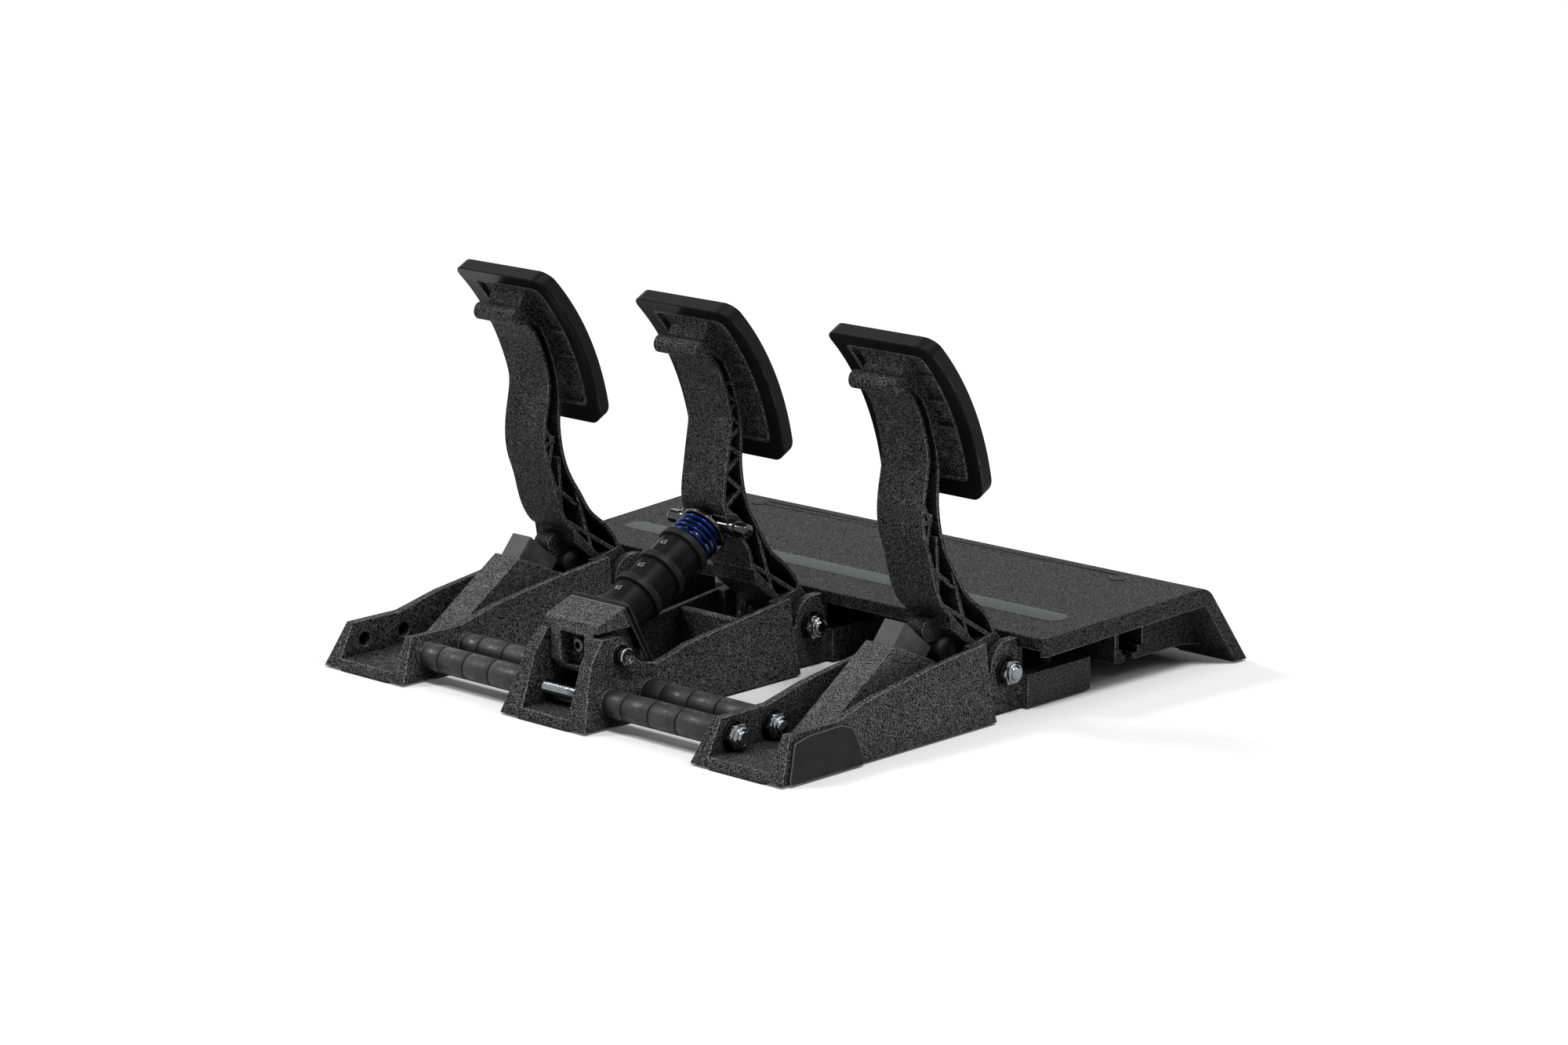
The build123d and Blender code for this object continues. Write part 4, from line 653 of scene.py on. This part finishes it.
# Bump stops: satin black rubber rolls, moulded with soft rims and carried by the arms beyond
# their hubs, that meet the frame at rest.
stop_rubber = smooth_finish("stop_rubber", (0.012, 0.012, 0.0125), 0.38, gloss=0.5, waves=150)
stop_y, stop_z = 27.55, 40.2
stop_half, stop_radius, stop_core = 9.0, 8.0, 0.6
stop_rim = ((0, 1.6), (0.5, 0.5), (1.6, 0))
stop_roll = rimmed(-stop_half, stop_half, stop_core, stop_radius, stop_rim)
for pedal, x in side_pedals.items():
    surface(pedal + "_stop_roll", [turned((x, stop_y, stop_z), (1, 0, 0), stop_roll)], False,
            stop_rubber, "foot_rubber", pedal + "_pedal", pedal + "_bump_stop")


# Position sensors: a plated magnet let into the hub of each side arm, and beside it a small
# green circuit board fixed in the frame. Both keep the shape of the CAD.
magnet_plate = smooth_finish("magnet_plate", (0.5, 0.5, 0.5), 0.25, waves=300, metal=1.0)
board_green = smooth_finish("board_green", (0.01, 0.055, 0.02), 0.4, waves=500)
for pedal in side_pedals:
    coat(pedal + "_magnet", magnet_plate)
coat("sensor_boards", board_green)


# Brake stack: a collar, three black rubber blocks with a hardness number on each, and
# painted metal rings between them, all threaded on one sloping spindle.
stack_start = np.array((0, 130.05, 47.6))
stack_line, stack_across, stack_up = line_frame((0, -0.876702, 0.481033))
rubber_long, ring_long, collar_long = 15.604, 4.404, 4.898
rubber_radius, ring_radius, core_radius = 13.5, 15.5, 4.2
rubber_edge, ring_edge = 0.5, 0.8
rim_steps, side_steps, stack_count = 5, 9, 96


def stack_rings(low, high, radius, edge):
    """A ring of the stack: a quarter circle at each rim, and straight sides with rings in
    equal steps between."""
    turn = np.linspace(0, pi / 2, rim_steps)
    middle = np.linspace(0, 1, side_steps)[1:-1]
    profile = [(low, core_radius)]
    profile += [(low + edge * (1 - cos(a)), radius - edge * (1 - sin(a))) for a in turn]
    profile += [(low + edge + (high - low - 2 * edge) * t, radius) for t in middle]
    profile += [(high - edge * (1 - cos(a)), radius - edge * (1 - sin(a))) for a in turn[::-1]]
    profile.append((high, core_radius))
    return turned(stack_start, stack_line, profile, stack_count)


stack_rubber = smooth_finish("stack_rubber", (0.005, 0.005, 0.0052), 0.34, gloss=0.08, waves=90,
                             spread=0.25)
ring_paint = smooth_finish("ring_paint", (0.012, 0.012, 0.0125), 0.42, gloss=0.12, waves=250)
number_ink = smooth_finish("number_ink", (0.30, 0.30, 0.31), 0.5, waves=800)
surface("stack_collar", [stack_rings(0, collar_long, ring_radius, ring_edge)], True, ring_paint,
        "ring_metal", "brake_yoke_body", "brake_base_collar")
number_turn, number_place = 89.0, 8.3
number_size, number_thick, number_lift, number_gap = 4.6, 0.06, 0.09, 0.001


def number_on_block(name, low, body):
    """The number as a thin shape: its width becomes an angle round the block, its height a
    place along the line and its depth a radius."""
    words = bpy.data.curves.new(name, "FONT")
    words.body = "65"
    words.size = number_size * mm
    words.extrude = number_thick * mm
    words.align_x, words.align_y = "CENTER", "CENTER"
    flat = bpy.data.objects.new(name + "_flat", words)
    bpy.context.scene.collection.objects.link(flat)
    bpy.context.view_layer.update()
    mesh = bpy.data.meshes.new_from_object(flat)
    bpy.data.objects.remove(flat)
    points = np.zeros(len(mesh.vertices) * 3)
    mesh.vertices.foreach_get("co", points)
    points = points.reshape(-1, 3) / mm
    radius = rubber_radius + number_lift + points[:, 2]
    angle = radians(number_turn) + points[:, 0] / rubber_radius
    reach = low + number_place + points[:, 1]
    ring = np.cos(angle)[:, None] * stack_across + np.sin(angle)[:, None] * stack_up
    place = (stack_start + reach[:, None] * stack_line + radius[:, None] * ring) * mm
    mesh.vertices.foreach_set("co", place.ravel())
    work = bmesh.new()
    work.from_mesh(mesh)
    bmesh.ops.remove_doubles(work, verts=work.verts, dist=number_gap * mm)
    bmesh.ops.recalc_face_normals(work, faces=work.faces)
    work.to_mesh(mesh)
    work.free()
    mesh.materials.clear()
    mesh.materials.append(number_ink)
    piece = bpy.data.objects.new(name, mesh)
    bpy.context.scene.collection.objects.link(piece)
    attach(piece, body)
    return piece


stage_bodies = ("brake_yoke_body", "ring_1_body", "ring_2_body", "ring_3_body")
sleeve_sunk, sleeve_long, sleeve_radius, sleeve_chamfer = 0.2, 3.9, 6.6, 0.4
for number in (1, 2, 3):
    low = collar_long + (number - 1) * (rubber_long + ring_long)
    top = low + rubber_long
    body = stage_bodies[number - 1]
    block = surface("rubber_block_%d" % number,
                    [stack_rings(low, top, rubber_radius, rubber_edge)], True, stack_rubber,
                    "stack_rubber", body, "brake_rubber_%d" % number)
    label = number_on_block("hardness_number_%d" % number, low, body)
    for soft in (block, label):
        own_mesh(soft)
    grids = [stack_rings(top, top + ring_long, ring_radius, ring_edge)]
    if number == 3:
        # The last ring has a sleeve that the blue spring sits round.
        start, end = top + ring_long - sleeve_sunk, top + ring_long + sleeve_long
        sleeve = [(start, core_radius), (start, sleeve_radius),
                  (end - sleeve_chamfer, sleeve_radius), (end, sleeve_radius - sleeve_chamfer),
                  (end, core_radius)]
        grids.append(turned(stack_start, stack_line, sleeve, stack_count))
    surface("stack_ring_%d" % number, grids, True, ring_paint, "ring_metal",
            stage_bodies[number], "brake_ring_%d" % number)


# Brake spring: three and a half turns of blue metallic painted wire between the last ring
# and the spring's seat, with both ends turned in to the sleeves.
coil_low, coil_long, coil_radius, coil_wire = 64.9, 15.0, 12.55, 2.4
coil_turns, coil_ease, coil_clear, coil_steps = 3.5, 0.25, 0.3, 64
coil_bend, coil_tip, bend_steps, coil_count = 1.25 * coil_wire, 0.9 * coil_wire, 16, 20
turn = np.linspace(0, coil_turns, int(coil_turns * coil_steps) + 1)
margin = coil_wire / 2 + coil_clear
rise = coil_long - 2 * margin
# The height over the turns is a straight line that eases in and out by a parabola.
grade = rise / (coil_turns - coil_ease)
left = coil_turns - turn
height = np.where(turn < coil_ease, grade * turn ** 2 / (2 * coil_ease),
                  np.where(left < coil_ease, rise - grade * left ** 2 / (2 * coil_ease),
                           grade * (turn - coil_ease / 2)))
flat_course = np.stack([coil_radius * np.cos(tau * turn), coil_radius * np.sin(tau * turn),
                        margin + height], axis=-1)


def turned_in(end, heading):
    """The wire's end: an arc towards the middle and a short straight run."""
    outward = np.array((end[0], end[1], 0)) / coil_radius
    reach = sqrt((coil_radius - coil_bend) ** 2 - coil_bend ** 2)
    angle = np.linspace(0, pi - atan2(reach, coil_bend), bend_steps)[1:, None]
    arc = (end - outward * coil_bend
           + coil_bend * (np.cos(angle) * outward + np.sin(angle) * heading))
    inward = -np.array((arc[-1][0], arc[-1][1], 0)) / np.linalg.norm(arc[-1][:2])
    return np.concatenate([arc, [arc[-1] + inward * coil_tip]])


head = turned_in(flat_course[0], np.array((0.0, -1.0, 0.0)))
last = tau * coil_turns
tail = turned_in(flat_course[-1], np.array((-sin(last), cos(last), 0.0)))
flat_course = np.concatenate([head[::-1], flat_course, tail])
coil_up = np.cross(stack_line, stack_across)
course = (stack_start + (coil_low + flat_course[:, 2:3]) * stack_line
          + flat_course[:, 0:1] * stack_across + flat_course[:, 1:2] * coil_up)
spring_blue = smooth_finish("spring_blue", (0.002, 0.013, 0.095), 0.14, gloss=0.6, waves=300,
                            lift=0.0, spread=0.2, metal=0.9)
coil = surface("blue_coil", [wire_tube(course, stack_line, coil_wire, coil_count)], False,
               spring_blue, "blue_spring", "ring_3_body", "brake_spring")
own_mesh(coil)


# Spring seat, cross pin and its two collars: black oxide steel, polished, turned from bar; the
# spindle is bright spring steel. The pin runs through the seat's eye and both cheeks of the
# brake's arm.
black_steel = smooth_finish("black_steel", (0.006, 0.006, 0.0063), 0.08, gloss=0.6, waves=200,
                            lift=0.0, spread=0.2)
seat_round, spindle_round = 0.3 * mm, 0.2 * mm
rounded_copy("brake_spring_seat", seat_round, black_steel)
rounded_copy("brake_spindle", spindle_round, spring_steel)
pin_along, pin_half, pin_radius, pin_core = 86.688, 30, 4.0, 1.0
pin_rim = ((0, 1.4), (0.3, 0.7), (1.0, 0.15), (1.6, 0))
pin_place = stack_start + pin_along * stack_line
pin_profile = rimmed(-pin_half, pin_half, pin_core, pin_radius, pin_rim)
surface("cross_pin", [turned(pin_place, (1, 0, 0), pin_profile)], False, black_steel,
        "black_steel", "brake_pedal", "brake_cross_pin")
collar_from, collar_to, collar_radius = 16.6, 21.6, 5.0
collar_rim = ((0, 0.4), (0.15, 0.1), (0.5, 0))
collar_profile = rimmed(collar_from, collar_to, pin_radius, collar_radius, collar_rim)
pin_collars = [turned(pin_place, (side, 0, 0), collar_profile) for side in (1, -1)]
surface("pin_collar_pair", pin_collars, True, black_steel, "black_steel", "brake_pedal",
        "brake_pin_collars")


# Load-cell plate and yoke: a black plate that the stack presses on, carried by a moulded
# block that tips a little on two socket-head screws.
plate_black = smooth_finish("plate_black", (0.004, 0.004, 0.0042), 0.3, gloss=0.12, waves=150)
cell_plate_round, yoke_round = 0.35 * mm, 0.5 * mm
# Its rounded edges take the caps' paler edge finish, a painted highlight.
rounded_copy("brake_load_cell_plate", cell_plate_round, plate_black, cap_edge_highlight)
yoke_nylon = grain_finish("yoke_nylon", (0.008, 0.008, 0.0082), (0.18, 0.18, 0.183), 1500)
rounded_copy("brake_yoke", yoke_round, yoke_nylon, edge_highlight_nylon)
screw_chrome = smooth_finish("screw_chrome", (0.26, 0.26, 0.265), 0.1, waves=300, lift=0.005,
                             metal=1.0)
screw_round, washer_round = 0.2 * mm, 0.25 * mm
rounded_copy("yoke_pivot_screws", screw_round, screw_chrome)
rounded_copy("brake_cell_screw", screw_round, black_steel)
rounded_copy("yoke_pivot_washers", washer_round, black_zinc)


# Heel plate: one wide moulding in the same black nylon, with a leaning skirt along its front
# edge, rims at its sides, and ribs beneath that stiffen it. Its grain is the darkest.
plate_nylon = grain_finish("plate_nylon", (0.001, 0.001, 0.0011), (0.056, 0.056, 0.057), 1300)
plate_round = 0.5 * mm
rounded_copy("heel_plate", plate_round, plate_nylon, edge_highlight_nylon)


# Grip strip: a plain dark grey rubber strip with round ends, let into a groove of the plate
# and glued. It leans with the plate's top and stands 0.2 mm proud of it.
def strip_rings(low, high, half_long, half_wide, edge, count=24):
    """A round-ended strip: each ring is its outline drawn in at the rims by the same sine."""
    turn = np.linspace(0, pi / 2, rim_steps)
    rim = [(0.0, low)] + [(edge * (1 - cos(a)), high - edge + edge * sin(a)) for a in turn]
    angle = np.linspace(-pi / 2, pi / 2, count)
    rings = []
    for inset, z in rim:
        r = half_wide - inset
        right = np.stack([half_long - half_wide + r * np.cos(angle), r * np.sin(angle)], -1)
        outline = np.concatenate([right, -right])
        rings.append(np.concatenate([outline, np.full((2 * count, 1), z)], axis=-1))
    return np.stack(rings)


strip_grey = grain_finish("strip_grey", (0.048, 0.049, 0.051), (0.062, 0.063, 0.065), 1500,
                          rough=0.6, lift=0.04, gloss=0.3, blotch=0.05, sharp=0.2)
row_shift, row_lift = 0.55, 1.2
plate_rear, plate_rear_height, plate_slope = -14.6, 41.7, 0.0442
strip_sunk, strip_proud, strip_edge = 1.6, 0.2, 0.35
strip_half_long, strip_half_wide, strip_middle = 168.35, 7.7, -51.35
strip_height = plate_rear_height + plate_slope * (plate_rear - strip_middle) + row_lift
strip_tilt = atan2(-plate_slope, 1)
strip_grid = strip_rings(-strip_sunk, strip_proud, strip_half_long, strip_half_wide, strip_edge)
tilted = np.stack([strip_grid[..., 0],
                   strip_middle + row_shift + strip_grid[..., 1] * cos(strip_tilt)
                   - strip_grid[..., 2] * sin(strip_tilt),
                   strip_height + strip_grid[..., 1] * sin(strip_tilt)
                   + strip_grid[..., 2] * cos(strip_tilt)], axis=-1) * mm
surface("grip_strip_rubber", [tilted], False, strip_grey, "strip_rubber", "base", "grip_strip")


# Screw covers and toe screws: two low round nylon covers pressed into the plate, and black
# zinc-plated screws driven from below that hold the frames' toes to it.
toe_screw_round = 0.15 * mm
rounded_copy("plate_screw_covers", 0, plate_nylon)
rounded_copy("toe_screws", toe_screw_round, black_zinc)


# Skirt feet: two strips of the frames' soft black rubber, stuck under the front edge of the
# plate near its corners.
skirt_outer, skirt_inner = 189.3, 149.3
skirt_front, skirt_rear = -182.75, -175.55
skirt_edge, skirt_corner = 0.3, 1.5
skirt_blocks = []
for side in (1, -1):
    ends = sorted((side * skirt_outer, side * skirt_inner))
    skirt_blocks.append(cushion_block((ends[0], skirt_front, 0), (ends[1], skirt_rear, foot_thick),
                                      skirt_edge, skirt_corner))
surface("skirt_strips", skirt_blocks, False, foot_rubber, "foot_rubber", "base",
        "skirt_rubber_feet")


# Control box: an open moulded nylon tray fixed under the plate, with a green circuit board
# in it and a tinned metal socket for a cable.
cover_round = 0.3 * mm
rounded_copy("control_cover", cover_round, frame_nylon, edge_highlight_nylon)
coat("control_board", board_green)
socket_tin = smooth_finish("socket_tin", (0.55, 0.55, 0.56), 0.3, waves=400, metal=1.0)
coat("cable_socket", socket_tin)
